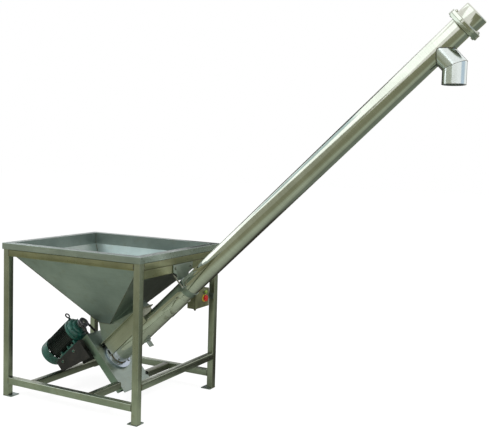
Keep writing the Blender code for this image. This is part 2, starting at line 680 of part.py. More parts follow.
def build_motor(paint, dark, bright, line, motor, rotor):
    fins = []
    for index in range(MOTOR_FINS):
        middle = math.tau * index / MOTOR_FINS
        for radius, turn in (
            (MOTOR_CORE_RADIUS, -0.30), (MOTOR_RADIUS, -0.18), (MOTOR_RADIUS, 0.18),
            (MOTOR_CORE_RADIUS, 0.30)
        ):
            angle = middle + turn * math.tau / MOTOR_FINS
            fins.append((MOTOR_BACK, radius * math.sin(angle), radius * math.cos(angle)))
    frame = extruded("motor_frame", fins, (MOTOR_FRONT - MOTOR_BACK, 0.0, 0.0), paint, motor)
    bore = MOTOR_SHAFT_RADIUS + GAP
    combine(frame, cylinder("cut_motor_frame", MOTOR_BACK - 0.01, MOTOR_FRONT + 0.01, bore, SMALL_ROUND,
        None, motor),
            "DIFFERENCE")
    face = GUARD_START - GAP - 0.012
    shield_start = MOTOR_FRONT + GAP
    turned("motor_end_shield", [
        (shield_start, bore), (shield_start, MOTOR_RADIUS), (shield_start + 0.020, MOTOR_RADIUS),
        (shield_start + 0.028, MOTOR_RADIUS - 0.012), (face - 0.008, 0.045), (face, 0.040), (face, bore),
    ], ROUND, paint, motor)
    wall = 0.002
    start = MOTOR_BACK - GAP
    turned("fan_cover", [
        (start, FAN_COVER_RADIUS - wall), (start, FAN_COVER_RADIUS),
        (FAN_COVER_END + 0.014, FAN_COVER_RADIUS),
        (FAN_COVER_END + 0.004, FAN_COVER_RADIUS - 0.006), (FAN_COVER_END, FAN_COVER_RADIUS - 0.016),
        (FAN_COVER_END, 0.0), (FAN_COVER_END + wall, 0.0), (FAN_COVER_END + wall, FAN_COVER_RADIUS - 0.017),
        (FAN_COVER_END + 0.006, FAN_COVER_RADIUS - 0.008), (FAN_COVER_END + 0.015, FAN_COVER_RADIUS - wall),
    ], ROUND, paint, motor)
    shaft_end = PULLEY_STATION + PULLEY_WIDTH / 2 + 0.004
    cylinder("motor_shaft", FAN_COVER_END + 0.025, shaft_end, MOTOR_SHAFT_RADIUS, SMALL_ROUND, bright, rotor)
    blades = []
    for index in range(7):
        middle = math.tau * index / 7
        for radius, turn in ((0.022, -0.25), (0.062, -0.07), (0.062, 0.07), (0.022, 0.25)):
            angle = middle + turn * math.tau / 7
            blades.append((FAN_COVER_END + 0.030, radius * math.sin(angle), radius * math.cos(angle)))
    fan = extruded("motor_fan", blades, (0.022, 0.0, 0.0), dark, rotor)
    combine(fan, cylinder("cut_motor_fan", FAN_COVER_END, MOTOR_BACK, bore, SMALL_ROUND, None, rotor),
        "DIFFERENCE")
    box("terminal_box", (MOTOR_FOOT_START, MOTOR_RADIUS + GAP, -0.040),
        (MOTOR_FOOT_START + 0.090, MOTOR_RADIUS + 0.048, 0.045), paint, motor)


def build_motor_feet(paint, motor):
    bottom = -MOTOR_FOOT_HEIGHT + GAP
    pad = bottom + 0.010
    touch = MOTOR_RADIUS + 0.0015
    high = math.radians(44)
    low = math.radians(62)
    for name, side in (("front", -1), ("back", 1)):
        outline = [
            (0.036, bottom), (0.088, bottom), (0.088, pad), (0.068, pad + 0.002),
            (touch * math.cos(high), -touch * math.sin(high)),
            (touch * math.cos(low), -touch * math.sin(low)),
        ]
        points = [(MOTOR_FOOT_START, side * y, z) for y, z in outline]
        foot = extruded("motor_foot_" + name, points, (MOTOR_FOOT_LENGTH, 0.0, 0.0), paint, motor)
        for station in (MOTOR_FOOT_START + 0.015, MOTOR_FOOT_START + 0.125):
            centre = (station, side * 0.0795, 0.0)
            head = cylinder(f"join_foot_bolt_{name}", pad - 0.003, pad + 0.006, 0.0072, 6, None, motor,
                centre,
                            (0.0, 0.0, 1.0))
            combine(foot, head, "UNION")


def build_eye_bolt(bright, motor):
    # A lifting ring on a short stem over the drive end.
    station = MOTOR_FRONT + 0.012
    base = MOTOR_RADIUS + GAP
    stem = cylinder("eye_bolt", base, base + 0.012, 0.007, SMALL_ROUND, bright, motor, (station, 0.0, 0.0),
                    (0.0, 0.0, 1.0))
    circle = [(0.004 * math.cos(a), 0.014 + 0.004 * math.sin(a)) for a in (math.tau * k / 8 for k in range(8))]
    eye = turned("join_eye_bolt", circle, SMALL_ROUND, None, motor, (station, 0.0, base + 0.025))
    combine(stem, eye, "UNION")


# ---------------------------------------------------------------- clamp that hangs the tube on the frame
def clamp_station():
    # The clamp sits where the tube's top passes the outer face of the right top rail.
    x = HALF_LENGTH + GAP + HANGER_THICKNESS / 2
    rise = PIPE_RADIUS + GAP + CLAMP_BAND
    return (x + rise * math.sin(INCLINE)) / math.cos(INCLINE)


def half_band(name, side, material, line):
    # Half of a clamp band with a flat lug at each end; side is +1 for the upper half.
    inner = PIPE_RADIUS + GAP
    outer = inner + CLAMP_BAND
    split = 0.001
    steps = ROUND // 2
    start = clamp_station() - CLAMP_WIDTH / 2
    low = math.asin(split / inner)
    arc = []
    for index in range(steps + 1):
        angle = low + (math.pi - 2 * low) * index / steps
        arc.append((math.cos(angle), math.sin(angle)))
    lug = outer + CLAMP_LUG
    reach = split + CLAMP_BAND
    outline = [(inner * c, side * inner * s) for c, s in arc]
    outline += [(-lug, side * split), (-lug, side * reach)]
    shoulder = math.sqrt(outer ** 2 - reach ** 2)
    outline += [(-shoulder, side * reach)]
    outline += [(outer * c, side * outer * s) for c, s in reversed(arc) if outer * s > reach]
    outline += [(shoulder, side * reach), (lug, side * reach), (lug, side * split)]
    return extruded(name, [(start, y, z) for y, z in outline], (CLAMP_WIDTH, 0.0, 0.0), material, line,
        smooth=True)


def build_clamp(steel, bright, plastic, base, line):
    upper = half_band("tube_hanger", 1, steel, line)
    half_band("clamp_band", -1, steel, line)
    face = HALF_LENGTH + GAP
    top_of_tube = line_point(clamp_station(), 0.0, PIPE_RADIUS + GAP).z
    bottom = top_of_tube - HANGER_LOWER
    top = RAIL_TOP - TUBE - GAP
    shoulder = top - HANGER_BAR_HEIGHT
    neck = PIPE_RADIUS + HANGER_NECK_MARGIN
    outline = [
        (-HANGER_HALF_WIDTH, top), (-HANGER_HALF_WIDTH, shoulder + 0.003), (-neck, shoulder - 0.012),
        (-neck, bottom),
    ]
    outline += [(-y, z) for y, z in reversed(outline)]
    plate = extruded("join_tube_hanger", [(face, y, z) for y, z in outline], (HANGER_THICKNESS, 0.0, 0.0),
        None, base)
    reach = HALF_WIDTH - TUBE - GAP
    box("hanger_bar", (HALF_LENGTH - HANGER_THICKNESS, -reach, shoulder), (HALF_LENGTH, reach, top),
        steel, base)
    start = clamp_station() - 4 * CLAMP_WIDTH
    middle = PIPE_RADIUS + GAP + CLAMP_BAND / 2
    bore = cylinder("cut_tube_hanger", start, start + 8 * CLAMP_WIDTH, middle, ROUND, None, line)
    combine(plate, bore, "DIFFERENCE")
    combine(upper, plate, "UNION")
    station = clamp_station()
    lug_y = PIPE_RADIUS + GAP + CLAMP_BAND + CLAMP_LUG * 0.4
    over = 0.001 + CLAMP_BAND + GAP
    # The knob's long stud stands on the front lug; the hexagon nut stands on the rear lug.
    cylinder("clamp_nut", over, over + 0.007, 0.0085, 6, bright, line, (station, lug_y, 0.0),
        (0.0, 0.0, 1.0))
    profile = [
        (over, 0.0), (over, 0.005), (KNOB_RISE, 0.005), (KNOB_RISE + 0.003, KNOB_RADIUS),
        (KNOB_RISE + KNOB_HEIGHT - 0.003, KNOB_RADIUS), (KNOB_RISE + KNOB_HEIGHT, KNOB_RADIUS - 0.003),
        (KNOB_RISE + KNOB_HEIGHT, 0.0),
    ]
    place = (station + KNOB_SHIFT, -lug_y, 0.0)
    turned("clamp_knob", profile, 12, plastic, line, place, (0.0, 0.0, 1.0), closed=False)


# ---------------------------------------------------------------- clean-out door and lug
def build_door(steel, line):
    # A curved cover under the tube, hinged along its front seam.
    inner = PIPE_RADIUS + 2 * GAP
    outer = inner + DOOR_SHEET
    tilt = math.asin(-DOOR_SEAM / inner)
    edge = outer * math.cos(tilt)
    hinge_y = -(edge + HINGE_PIN_RADIUS)
    hinge = make_empty("door_hinge", Matrix())
    hinge.parent = line
    hinge.location = (0.0, hinge_y, DOOR_SEAM)
    steps = ROUND // 2
    start = math.pi + tilt
    sweep = math.pi - 2 * tilt
    points = []
    for radius, order in ((inner, range(steps + 1)), (outer, range(steps, -1, -1))):
        for index in order:
            angle = start + sweep * index / steps
            points.append((DOOR_START, radius * math.cos(angle) - hinge_y,
                radius * math.sin(angle) - DOOR_SEAM))
    door = extruded("clean_out_door", points, (DOOR_LENGTH, 0.0, 0.0), steel, hinge, smooth=True)
    knuckle = cylinder("join_door_knuckle", DOOR_START + 0.012, DOOR_START + DOOR_LENGTH - 0.012,
                       HINGE_PIN_RADIUS + 0.0012, 12, None, hinge)
    combine(door, knuckle, "UNION")
    tab_y = edge - hinge_y
    tab = box("join_door_tab", (DOOR_START + 0.050, tab_y - 0.002, -0.006),
              (DOOR_START + 0.100, tab_y + 0.016, -0.003), None, hinge)
    combine(door, tab, "UNION")
    return hinge, tab_y + 0.008


def build_door_screw(plastic, hinge, side):
    # Wing screw under the door's tab; it turns on its own axis.
    middle = DOOR_START + 0.075
    stem = cylinder("door_screw", -0.022, -0.006 - GAP, 0.004, 12, plastic, hinge, (middle, side, 0.0),
        (0.0, 0.0, 1.0))
    wing = box("join_door_screw", (middle - 0.011, side - 0.002, -0.022),
        (middle + 0.011, side + 0.002, -0.012),
               None, hinge)
    combine(stem, wing, "UNION")


def build_lug(steel, line):
    top = -(PIPE_RADIUS + GAP)
    outline = [(-0.020, top - 0.0035), (0.020, top - 0.0035), (0.020, top - 0.045), (-0.020, top - 0.045)]
    start = LUG_STATION
    lug = extruded("tube_lug", [(start, y, z) for y, z in outline], (0.005, 0.0, 0.0), steel, line)
    saddle = box("join_tube_lug", (start - 0.015, -0.020, top - 0.006),
        (start + 0.015, 0.020, top + 0.020), None, line)
    combine(lug, saddle, "UNION")
    cutter = cylinder("cut_tube_lug", start - 0.1, start + 0.1, PIPE_RADIUS + GAP, ROUND, None, line)
    combine(lug, cutter, "DIFFERENCE")


# ---------------------------------------------------------------- switch box
def build_switch_box(grey, red, green, steel, base):
    face = HALF_LENGTH
    back = face - BOX_DEPTH
    low = (back, BOX_FRONT, BOX_BOTTOM)
    high = (face, BOX_FRONT + BOX_WIDTH, BOX_BOTTOM + BOX_HEIGHT)
    case = box("switch_box", low, high, grey, base)
    inside = box("cut_switch_box", (back - 0.01, BOX_FRONT + BOX_WALL, BOX_BOTTOM + BOX_WALL),
                 (face - BOX_WALL, BOX_FRONT + BOX_WIDTH - BOX_WALL, BOX_BOTTOM + BOX_HEIGHT - BOX_WALL),
                     None, base)
    combine(case, inside, "DIFFERENCE")
    stem = 0.008
    for name, height, radius, material in (
        ("stop_button", STOP_HEIGHT, STOP_RADIUS, red), ("start_button", START_HEIGHT, START_RADIUS, green)
    ):
        centre = (0.0, BUTTON_Y, height)
        hole = cylinder("cut_" + name, back, face + 0.01, stem + GAP, SMALL_ROUND, None, base, centre)
        combine(case, hole, "DIFFERENCE")
        front = face + BUTTON_STROKE + 2 * GAP
        profile = [
            (face - 0.018, 0.0), (face - 0.018, stem), (front, stem), (front, radius),
            (front + 0.008, radius),
            (front + 0.012, radius - 0.004), (front + 0.012, 0.0),
        ]
        turned(name, profile, SMALL_ROUND + 4, material, base, centre, closed=False)
    # A flat bar behind the box, bent to a foot on the leg's inner face.
    bar_low = BOX_BOTTOM + 0.030
    sheet = 0.005
    rear = back - GAP
    reach = HALF_WIDTH - TUBE - GAP
    foot = HALF_LENGTH - sheet
    outline = [
        (rear - sheet, 0.100), (rear, 0.100), (rear, reach - sheet), (foot, reach - sheet), (foot, reach),
        (rear - sheet, reach),
    ]
    extruded("switch_box_bar", [(x, y, bar_low) for x, y in outline], (0.0, 0.0, 0.035), steel, base)
    cylinder("cable_gland", BOX_BOTTOM - GAP - 0.016, BOX_BOTTOM - GAP, 0.008, 12, grey, base,
             (back + BOX_DEPTH / 2, BOX_FRONT + 0.040, 0.0), (0.0, 0.0, 1.0))


def main():
    clear_scene()
    steel = make_material("satin stainless steel", (0.50, 0.52, 0.48), 0.35, 1.0)
    polished = make_material("polished stainless steel", (0.66, 0.67, 0.63), 0.15, 1.0)
    bright = make_material("zinc plated steel", (0.62, 0.62, 0.60), 0.40, 1.0)
    paint = make_material("green machine paint", (0.03, 0.15, 0.12), 0.45, 0.0)
    bed_paint = make_material("dark painted steel", (0.10, 0.085, 0.07), 0.55, 0.2)
    rubber = make_material("black rubber", (0.02, 0.02, 0.02), 0.80, 0.0)
    dark = make_material("black plastic", (0.03, 0.03, 0.03), 0.50, 0.0)
    grey = make_material("grey box paint", (0.30, 0.32, 0.25), 0.50, 0.0)
    red = make_material("red button plastic", (0.65, 0.02, 0.02), 0.35, 0.0)
    green = make_material("yellow-green button plastic", (0.45, 0.50, 0.10), 0.35, 0.0)

    base = make_empty("base", Matrix.Translation((-CENTRE_X, 0.0, 0.0)))
    line = make_empty("conveyor_line", Matrix())
    line.parent = base
    line.location = (0.0, 0.0, AXIS_HEIGHT)
    line.rotation_euler = (0.0, -INCLINE, 0.0)
    screw = make_empty("screw_axis", Matrix())
    screw.parent = line
    motor = make_empty("motor_axis", Matrix())
    motor.parent = line
    motor.location = (0.0, MOTOR_Y, MOTOR_RISE)

    build_frame(steel, base)
    build_rim(steel, base)
    build_hopper(steel, base)
    build_chute(steel, base)
    build_inlet_box(steel, line)
    build_tube(polished, line)
    build_flanges(polished, line)
    build_spout(polished, base, line)
    build_screw(steel, bright, line, screw)
    build_flight(steel, screw)
    build_drive(bright, rubber, line, screw, motor)
    build_plates(steel, line)
    build_motor_bed(bed_paint, base, line)
    build_motor(paint, dark, bright, line, motor, motor)
    build_motor_feet(paint, motor)
    build_eye_bolt(bright, motor)
    build_clamp(steel, bright, dark, base, line)
    hinge, side = build_door(polished, line)
    build_door_screw(bright, hinge, side)
    build_lug(steel, line)
    build_switch_box(grey, red, green, steel, base)
    bpy.context.view_layer.update()


main()
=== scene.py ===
import json
import math

import bmesh
import bpy
from mathutils import Matrix, Vector


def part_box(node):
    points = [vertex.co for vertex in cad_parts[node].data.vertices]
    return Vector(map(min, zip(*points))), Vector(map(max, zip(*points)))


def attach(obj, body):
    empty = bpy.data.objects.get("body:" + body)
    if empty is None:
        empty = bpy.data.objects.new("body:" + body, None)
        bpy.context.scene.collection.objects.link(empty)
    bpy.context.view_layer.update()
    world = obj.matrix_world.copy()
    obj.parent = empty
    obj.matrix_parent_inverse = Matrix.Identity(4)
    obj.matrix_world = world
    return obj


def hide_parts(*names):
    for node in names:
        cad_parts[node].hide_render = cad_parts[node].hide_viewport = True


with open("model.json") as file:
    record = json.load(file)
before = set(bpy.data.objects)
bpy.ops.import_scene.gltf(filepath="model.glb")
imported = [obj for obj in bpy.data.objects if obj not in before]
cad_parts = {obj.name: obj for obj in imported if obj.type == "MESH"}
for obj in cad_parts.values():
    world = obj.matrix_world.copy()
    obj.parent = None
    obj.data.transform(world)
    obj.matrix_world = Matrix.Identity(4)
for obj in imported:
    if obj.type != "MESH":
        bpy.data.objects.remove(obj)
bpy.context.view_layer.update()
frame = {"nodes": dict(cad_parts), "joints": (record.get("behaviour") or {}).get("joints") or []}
print("frame loaded")

joints = {joint["name"]: joint for joint in frame["joints"]}
line = {"pulleyStation": 0.018, "tubeRadius": 0.05715, "tubeWall": 0.003, "roundSteps": 96}
axisDirection = Vector(joints["screw_spin"]["axis"]).normalized()
incline = math.atan2(axisDirection.z, axisDirection.x)
axisStart = Vector(joints["screw_spin"]["pos_m"]) - axisDirection * line["pulleyStation"]
lineFrame = Matrix.Translation(axisStart) @ Matrix.Rotation(-incline, 4, "Y")
lineInverse = lineFrame.inverted()
frameCentre = Vector((axisStart.x, 0.0, 0.0))  # middle of the four legs, on the floor
quarterY = Matrix.Rotation(math.pi / 2, 4, "Y")


def toLinear(hexColour):
    channels = [int(hexColour[k:k + 2], 16) / 255 for k in (1, 3, 5)]
    linear = [c / 12.92 if c <= 0.04045 else ((c + 0.055) / 1.055) ** 2.4 for c in channels]
    return (*linear, 1.0)


def addNode(tree, kind, settings=None, links=None):
    # one node with its settings and its incoming links
    node = tree.nodes.new(kind)
    for key, value in (settings or {}).items():
        if isinstance(key, str) and hasattr(node, key):
            setattr(node, key, value)
        else:
            node.inputs[key].default_value = value
    for key, socket in (links or {}).items():
        tree.links.new(socket, node.inputs[key])
    return node


def emptyTree(owner):
    owner.use_nodes = True
    owner.node_tree.nodes.clear()
    return owner.node_tree


def feed(tree, socket, value):
    # a socket takes a link, a hex colour or a plain number
    if isinstance(value, bpy.types.NodeSocket):
        tree.links.new(value, socket)
    else:
        socket.default_value = toLinear(value) if isinstance(value, str) else value


def startMaterial(name):
    material = bpy.data.materials.new(name)
    tree = emptyTree(material)
    shader = addNode(tree, "ShaderNodeBsdfPrincipled")
    addNode(tree, "ShaderNodeOutputMaterial", None, {"Surface": shader.outputs[0]})
    return material, tree, shader


def patternSpace(tree, turn=(0.0, 0.0, 0.0), stretch=(1.0, 1.0, 1.0)):
    # object coordinates, turned first and stretched after
    place = addNode(tree, "ShaderNodeTexCoord").outputs["Object"]
    turned = addNode(tree, "ShaderNodeMapping", {"Rotation": turn}, {"Vector": place})
    return addNode(tree, "ShaderNodeMapping", {"Scale": stretch}, {"Vector": turned.outputs[0]}).outputs[0]


def noise(tree, place, scale, detail=3.0, rough=0.55):
    settings = {"Scale": scale, "Detail": detail, "Roughness": rough}
    return addNode(tree, "ShaderNodeTexNoise", settings, {"Vector": place}).outputs[0]


def remap(tree, value, low, high, toLow, toHigh):
    settings = {"From Min": low, "From Max": high, "To Min": toLow, "To Max": toHigh}
    return addNode(tree, "ShaderNodeMapRange", settings, {"Value": value}).outputs[0]


def mathNode(tree, operation, first, second):
    node = addNode(tree, "ShaderNodeMath", {"operation": operation})
    feed(tree, node.inputs[0], first)
    feed(tree, node.inputs[1], second)
    return node.outputs[0]


def mixColour(tree, factor, first, second, blend="MIX"):
    node = addNode(tree, "ShaderNodeMix", {"data_type": "RGBA", "blend_type": blend})
    for socket, value in ((0, factor), (6, first), (7, second)):
        feed(tree, node.inputs[socket], value)
    return node.outputs[2]


def colourBands(tree, value, bands):
    # a colour ramp with its places in rising order
    ramp = addNode(tree, "ShaderNodeValToRGB", None, {"Fac": value})
    stops = ramp.color_ramp.elements
    for stop, (place, colour) in zip(stops, (bands[0], bands[-1])):
        stop.position = place
        stop.color = toLinear(colour)
    for place, colour in bands[1:-1]:
        stops.new(place).color = toLinear(colour)
    return ramp.outputs[0]


def bump(tree, height, distance, strength=1.0, under=None):
    links = {"Height": height}
    if under:
        links["Normal"] = under
    return addNode(tree, "ShaderNodeBump", {"Strength": strength, "Distance": distance}, links).outputs[0]


def dressShader(tree, shader, colour, rough, normal, metallic):
    look = {"Base Color": colour, "Roughness": rough, "Normal": normal, "Metallic": metallic}
    for key, value in look.items():
        feed(tree, shader.inputs[key], value)


lineTurn = (0.0, incline, 0.0)
grainStretch = {
    "x": (0.02, 1.0, 1.0), "y": (1.0, 0.02, 1.0), "z": (1.0, 1.0, 0.02), "around": (1.0, 0.02, 0.02),
}


def brushedSteel(name, values):
    # stainless steel 304, belt ground: fine lines along one way, soft streaky gloss, cloudy handling marks
    material, tree, shader = startMaterial(name)
    turn = lineTurn if values.get("inclined") else (0.0, 0.0, 0.0)
    grain = patternSpace(tree, turn, grainStretch[values["grain"]])
    plain = patternSpace(tree, turn)
    lines = noise(tree, grain, 1.0 / values["lineWidth"], 4.0, 0.6)
    streaks = noise(tree, grain, 0.12 / values["lineWidth"], 3.0)
    clouds = noise(tree, plain, 1.0 / values["cloudSize"], 4.0, 0.6)
    blots = noise(tree, plain, 3.3 / values["cloudSize"], 5.0, 0.65)
    colour = mixColour(tree, remap(tree, clouds, 0.36, 0.64, 0.0, 1.0), values["dark"], values["light"])
    stain = remap(tree, blots, 0.55, 0.72, 0.0, values["stain"])
    colour = mixColour(tree, stain, colour, values["tint"])
    fine = remap(tree, lines, 0.3, 0.7, 0.90, 1.06)
    shade = addNode(tree, "ShaderNodeCombineColor", None, {0: fine, 1: fine, 2: fine}).outputs[0]
    colour = mixColour(tree, 1.0, colour, shade, "MULTIPLY")
    middle, spread = values["rough"], values["spread"]
    rough = remap(tree, streaks, 0.3, 0.7, middle - spread, middle + spread)
    rough = mathNode(tree, "ADD", rough, mathNode(tree, "MULTIPLY", stain, values["stainDulls"]))
    normal = bump(tree, lines, values["lineDepth"])
    normal = bump(tree, clouds, values["wave"], 1.0, normal)
    dressShader(tree, shader, colour, rough, normal, 1.0)
    return material


def paintedMetal(name, values):
    # enamel over cast or folded steel: slight orange peel, dust in random patches, a few small chips
    material, tree, shader = startMaterial(name)
    plain = patternSpace(tree)
    peel = noise(tree, plain, 1.0 / values["peelSize"], 2.0)
    patches = noise(tree, plain, 18.0, 4.0, 0.6)
    chips = noise(tree, plain, 120.0, 3.0, 0.5)
    colour = mixColour(tree, remap(tree, patches, 0.35, 0.65, 0.0, 1.0), values["dark"], values["light"])
    dust = remap(tree, patches, 0.55, 0.75, 0.0, values["dust"])
    colour = mixColour(tree, dust, colour, values["dustColour"])
    chipped = remap(tree, chips, values["chipFrom"], values["chipFrom"] + 0.02, 0.0, 1.0)
    colour = mixColour(tree, chipped, colour, values["under"])
    rough = remap(tree, patches, 0.3, 0.7, values["rough"] - 0.08, values["rough"] + 0.12)
    normal = bump(tree, peel, values["peelDepth"])
    normal = bump(tree, chipped, -0.0001, 1.0, normal)
    shader.inputs["Coat Weight"].default_value = values["coat"]
    shader.inputs["Coat Roughness"].default_value = 0.25
    dressShader(tree, shader, colour, rough, normal, 0.0)
    return material


def weldSteel(name):
    # stainless filler laid by hand: bright ripples with straw, brown and blue heat colours
    material, tree, shader = startMaterial(name)
    plain = patternSpace(tree)
    heat = noise(tree, plain, 55.0, 3.0)
    heatTones = ((0.36, "#5b5a52"), (0.46, "#7d6f4e"), (0.56, "#6c7278"), (0.66, "#a09d8c"))
    colour = colourBands(tree, heat, heatTones)
    grit = noise(tree, plain, 900.0, 3.0)
    dressShader(tree, shader, colour, remap(tree, grit, 0.3, 0.7, 0.32, 0.55), bump(tree, grit, 0.0002), 1.0)
    return material


def zincPlate(name, dark, light, rough):
    # zinc plated hardware: pale grey with a faint crystal pattern and a dulled skin
    material, tree, shader = startMaterial(name)
    plain = patternSpace(tree)
    cells = addNode(tree, "ShaderNodeTexVoronoi", {"Scale": 420.0}, {"Vector": plain})
    tone = addNode(tree, "ShaderNodeSeparateColor", None, {0: cells.outputs["Color"]}).outputs[0]
    grime = noise(tree, plain, 60.0, 4.0)
    colour = mixColour(tree, tone, dark, light)
    colour = mixColour(tree, remap(tree, grime, 0.55, 0.75, 0.0, 0.7), colour, "#4a463c")
    dulled = remap(tree, grime, 0.3, 0.7, rough - 0.08, rough + 0.12)
    dressShader(tree, shader, colour, dulled, bump(tree, grime, 0.0002), 1.0)
    return material


def mouldedPlastic(name, dark, light, rough):
    # thermoset or ABS moulding: even colour, fine spark-eroded grain, lightly rubbed
    material, tree, shader = startMaterial(name)
    plain = patternSpace(tree)
    skin = noise(tree, plain, 1.0 / 0.0006, 2.0)
    rub = noise(tree, plain, 70.0, 3.0)
    colour = mixColour(tree, remap(tree, rub, 0.35, 0.7, 0.0, 1.0), dark, light)
    rubbed = remap(tree, rub, 0.3, 0.7, rough - 0.06, rough + 0.10)
    dressShader(tree, shader, colour, rubbed, bump(tree, skin, 0.00008), 0.0)
    return material


def beltRubber(name):
    # wrapped rubber V-belt: cotton cover under black rubber, grey dust in random patches
    material, tree, shader = startMaterial(name)
    plain = patternSpace(tree, lineTurn)
    wave = {"Scale": 260.0, "Distortion": 1.5}
    weave = addNode(tree, "ShaderNodeTexWave", wave, {"Vector": plain}).outputs[1]
    dust = noise(tree, plain, 35.0, 4.0)
    colour = mixColour(tree, remap(tree, dust, 0.45, 0.75, 0.0, 1.0), "#1b1b1a", "#4a4742")
    dressShader(tree, shader, colour, remap(tree, dust, 0.3, 0.7, 0.62, 0.85), bump(tree, weave, 0.0003), 0.0)
    return material


sheetTones = {
    "dark": "#a5aaa0", "light": "#b4b9ae", "tint": "#9a967a", "stain": 0.30,
    "rough": 0.36, "spread": 0.05, "lineWidth": 0.0016, "lineDepth": 0.00006,
    "cloudSize": 0.20, "wave": 0.002, "stainDulls": 0.18,
}
frameTones = dict(
    sheetTones, dark="#a5ac9b", light="#b9bfae", tint="#98926b", stain=0.35, rough=0.30, cloudSize=0.14,
)
# the top rails and the bar under them: the frame's stainless made darker and more olive, painted shade under
# the rim's lip
shadedTopTones = dict(frameTones, dark="#9a9b80", light="#acac8d", tint="#8c8455")
# the motor beam and plate beams: the frame's stainless given a darker tone, painted shade
shadedBeamTones = dict(frameTones, dark="#7f8274", light="#95988a", tint="#6c6549")
railX, railY = (brushedSteel("satinTubeAlong" + way.upper(), dict(frameTones, grain=way)) for way in "xy")
shadedTopX, shadedTopY = (brushedSteel("satinTopTubeShadedAlong" + way.upper(), dict(shadedTopTones, grain=way)) for way in "xy")
shadedBeamY = brushedSteel("satinBeamTubePaintedShade", dict(shadedBeamTones, grain="y"))
postZ = brushedSteel("satinTubeUpright", dict(frameTones, dark="#a6ab99", light="#b9bdaa", grain="z"))
rimTones = dict(sheetTones, dark="#abb6b2", light="#bcc7c2", stain=0.2, rough=0.30)
rimSheet = brushedSteel("groundRimSheet", dict(rimTones, grain="x"))
hopperTones = dict(sheetTones, dark="#98a39f", light="#aab5b0", tint="#95927a", rough=0.38)
hopperSheet = brushedSteel("groundHopperSheet", dict(hopperTones, grain="x"))
lineSheet, crossSheet, guardSheet = (
    brushedSteel(name, dict(sheetTones, dark=dark, light=light, grain=way, inclined=True))
    for name, dark, light, way in (
        ("groundConveyorSheet", "#a9ab98", "#bfc1ae", "x"),
        ("groundCrossSheet", "#8f9b93", "#a1aca4", "y"),
        ("groundGuardSheet", "#7f9485", "#94a799", "y"),
    )
)
tubeTones = dict(
    sheetTones, dark="#c3c5b8", light="#d6d8cc", tint="#a9a488", stain=0.12, rough=0.12, spread=0.03,
    lineWidth=0.0022, lineDepth=0.00002, cloudSize=0.25, wave=0.0006, grain="around", inclined=True,
)
tubeSteel = brushedSteel("polishedConveyorTube", tubeTones)
spoutSteel = brushedSteel("polishedSpoutSheet", dict(
    tubeTones, dark="#dfe6e2", light="#eaf1f0", tint="#c9d2c4", rough=0.20, grain="x", inclined=False,
))
flangeSteel = brushedSteel("turnedFlangeSteel", dict(tubeTones, dark="#b0b6a8", light="#c6ccbe", rough=0.27))
# the lower flange is the same turned steel tinted light blue: painted sky reflection
skyReflectionFlangeTones = dict(tubeTones, dark="#aab4c4", light="#c3ccd8", rough=0.30)
flangeWithSkyReflection = brushedSteel("turnedLowerFlangeSkyReflection", skyReflectionFlangeTones)
screwSteel = brushedSteel("groundScrewSteel", dict(sheetTones, grain="around", inclined=True, rough=0.3))
bearingTones = dict(tubeTones, dark="#9a9b93", light="#b6b7ae", rough=0.28)
bearingSteel = brushedSteel("turnedBearingSteel", bearingTones)
weldMetal = weldSteel("handLaidWeld")
boltZinc = zincPlate("zincPlatedHardware", "#8b8a80", "#b4b3a6", 0.36)
pulleyIron = zincPlate("machinedPulleyIron", "#88868c", "#b3b0ba", 0.38)
motorGreen = paintedMetal("greenMotorEnamel", {
    "dark": "#0d3b31", "light": "#17564a", "dust": 0.35, "dustColour": "#4a5a4e", "under": "#1a1d1b",
    "chipFrom": 0.70, "rough": 0.42, "peelSize": 0.0022, "peelDepth": 0.00025, "coat": 0.3,
})
# the motor's green enamel darkened to near black: painted shade of the finned body, also used on the eye bolt
shadedMotorGreen = paintedMetal("greenEnamelPaintedShade", {
    "dark": "#070d0b", "light": "#101f1a", "dust": 0.25, "dustColour": "#2c3a33", "under": "#1a1d1b",
    "chipFrom": 0.72, "rough": 0.45, "peelSize": 0.0022, "peelDepth": 0.00025, "coat": 0.2,
})
bedPaint = paintedMetal("darkBedEnamel", {
    "dark": "#0f0d0b", "light": "#1b1815", "dust": 0.25, "dustColour": "#332c20", "under": "#3c3833",
    "chipFrom": 0.70, "rough": 0.62, "peelSize": 0.003, "peelDepth": 0.0002, "coat": 0.15,
})
boxPaint = paintedMetal("greyGreenBoxEnamel", {
    "dark": "#4b4d33", "light": "#626544", "dust": 0.4, "dustColour": "#7a7658", "under": "#31301f",
    "chipFrom": 0.74, "rough": 0.45, "peelSize": 0.0012, "peelDepth": 0.0001, "coat": 0.15,
})
rubber = beltRubber("wrappedBeltRubber")
blackPlastic = mouldedPlastic("blackPhenolicMoulding", "#141414", "#2a2a28", 0.42)
redPlastic = mouldedPlastic("redButtonAbs", "#9c0d0d", "#c41a14", 0.28)
yellowPlastic = mouldedPlastic("yellowSurroundAbs", "#b39a2a", "#cdb442", 0.4)
greenPlastic = mouldedPlastic("greenButtonAbs", "#6f8a3a", "#8aa24a", 0.32)
print("materials ready")


def placeMesh(bm, name):
    # the finished shape on an object of its own
    mesh = bpy.data.meshes.new(name)
    bm.to_mesh(mesh)
    bm.free()
    thing = bpy.data.objects.new(name, mesh)
    bpy.context.scene.collection.objects.link(thing)
    return thing


def finishPiece(name, bm, finish, body="machine", stands=(), smooth=38, clean=True):
    if clean:
        bmesh.ops.remove_doubles(bm, verts=bm.verts, dist=1e-6)
    bmesh.ops.recalc_face_normals(bm, faces=bm.faces)
    piece = placeMesh(bm, name)
    piece.data.shade_smooth()
    piece.data.set_sharp_from_angle(angle=math.radians(smooth))
    for material in finish if isinstance(finish, tuple) else (finish,):
        piece.data.materials.append(material)
    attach(piece, body)
    if stands:
        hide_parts(*stands)
    return piece


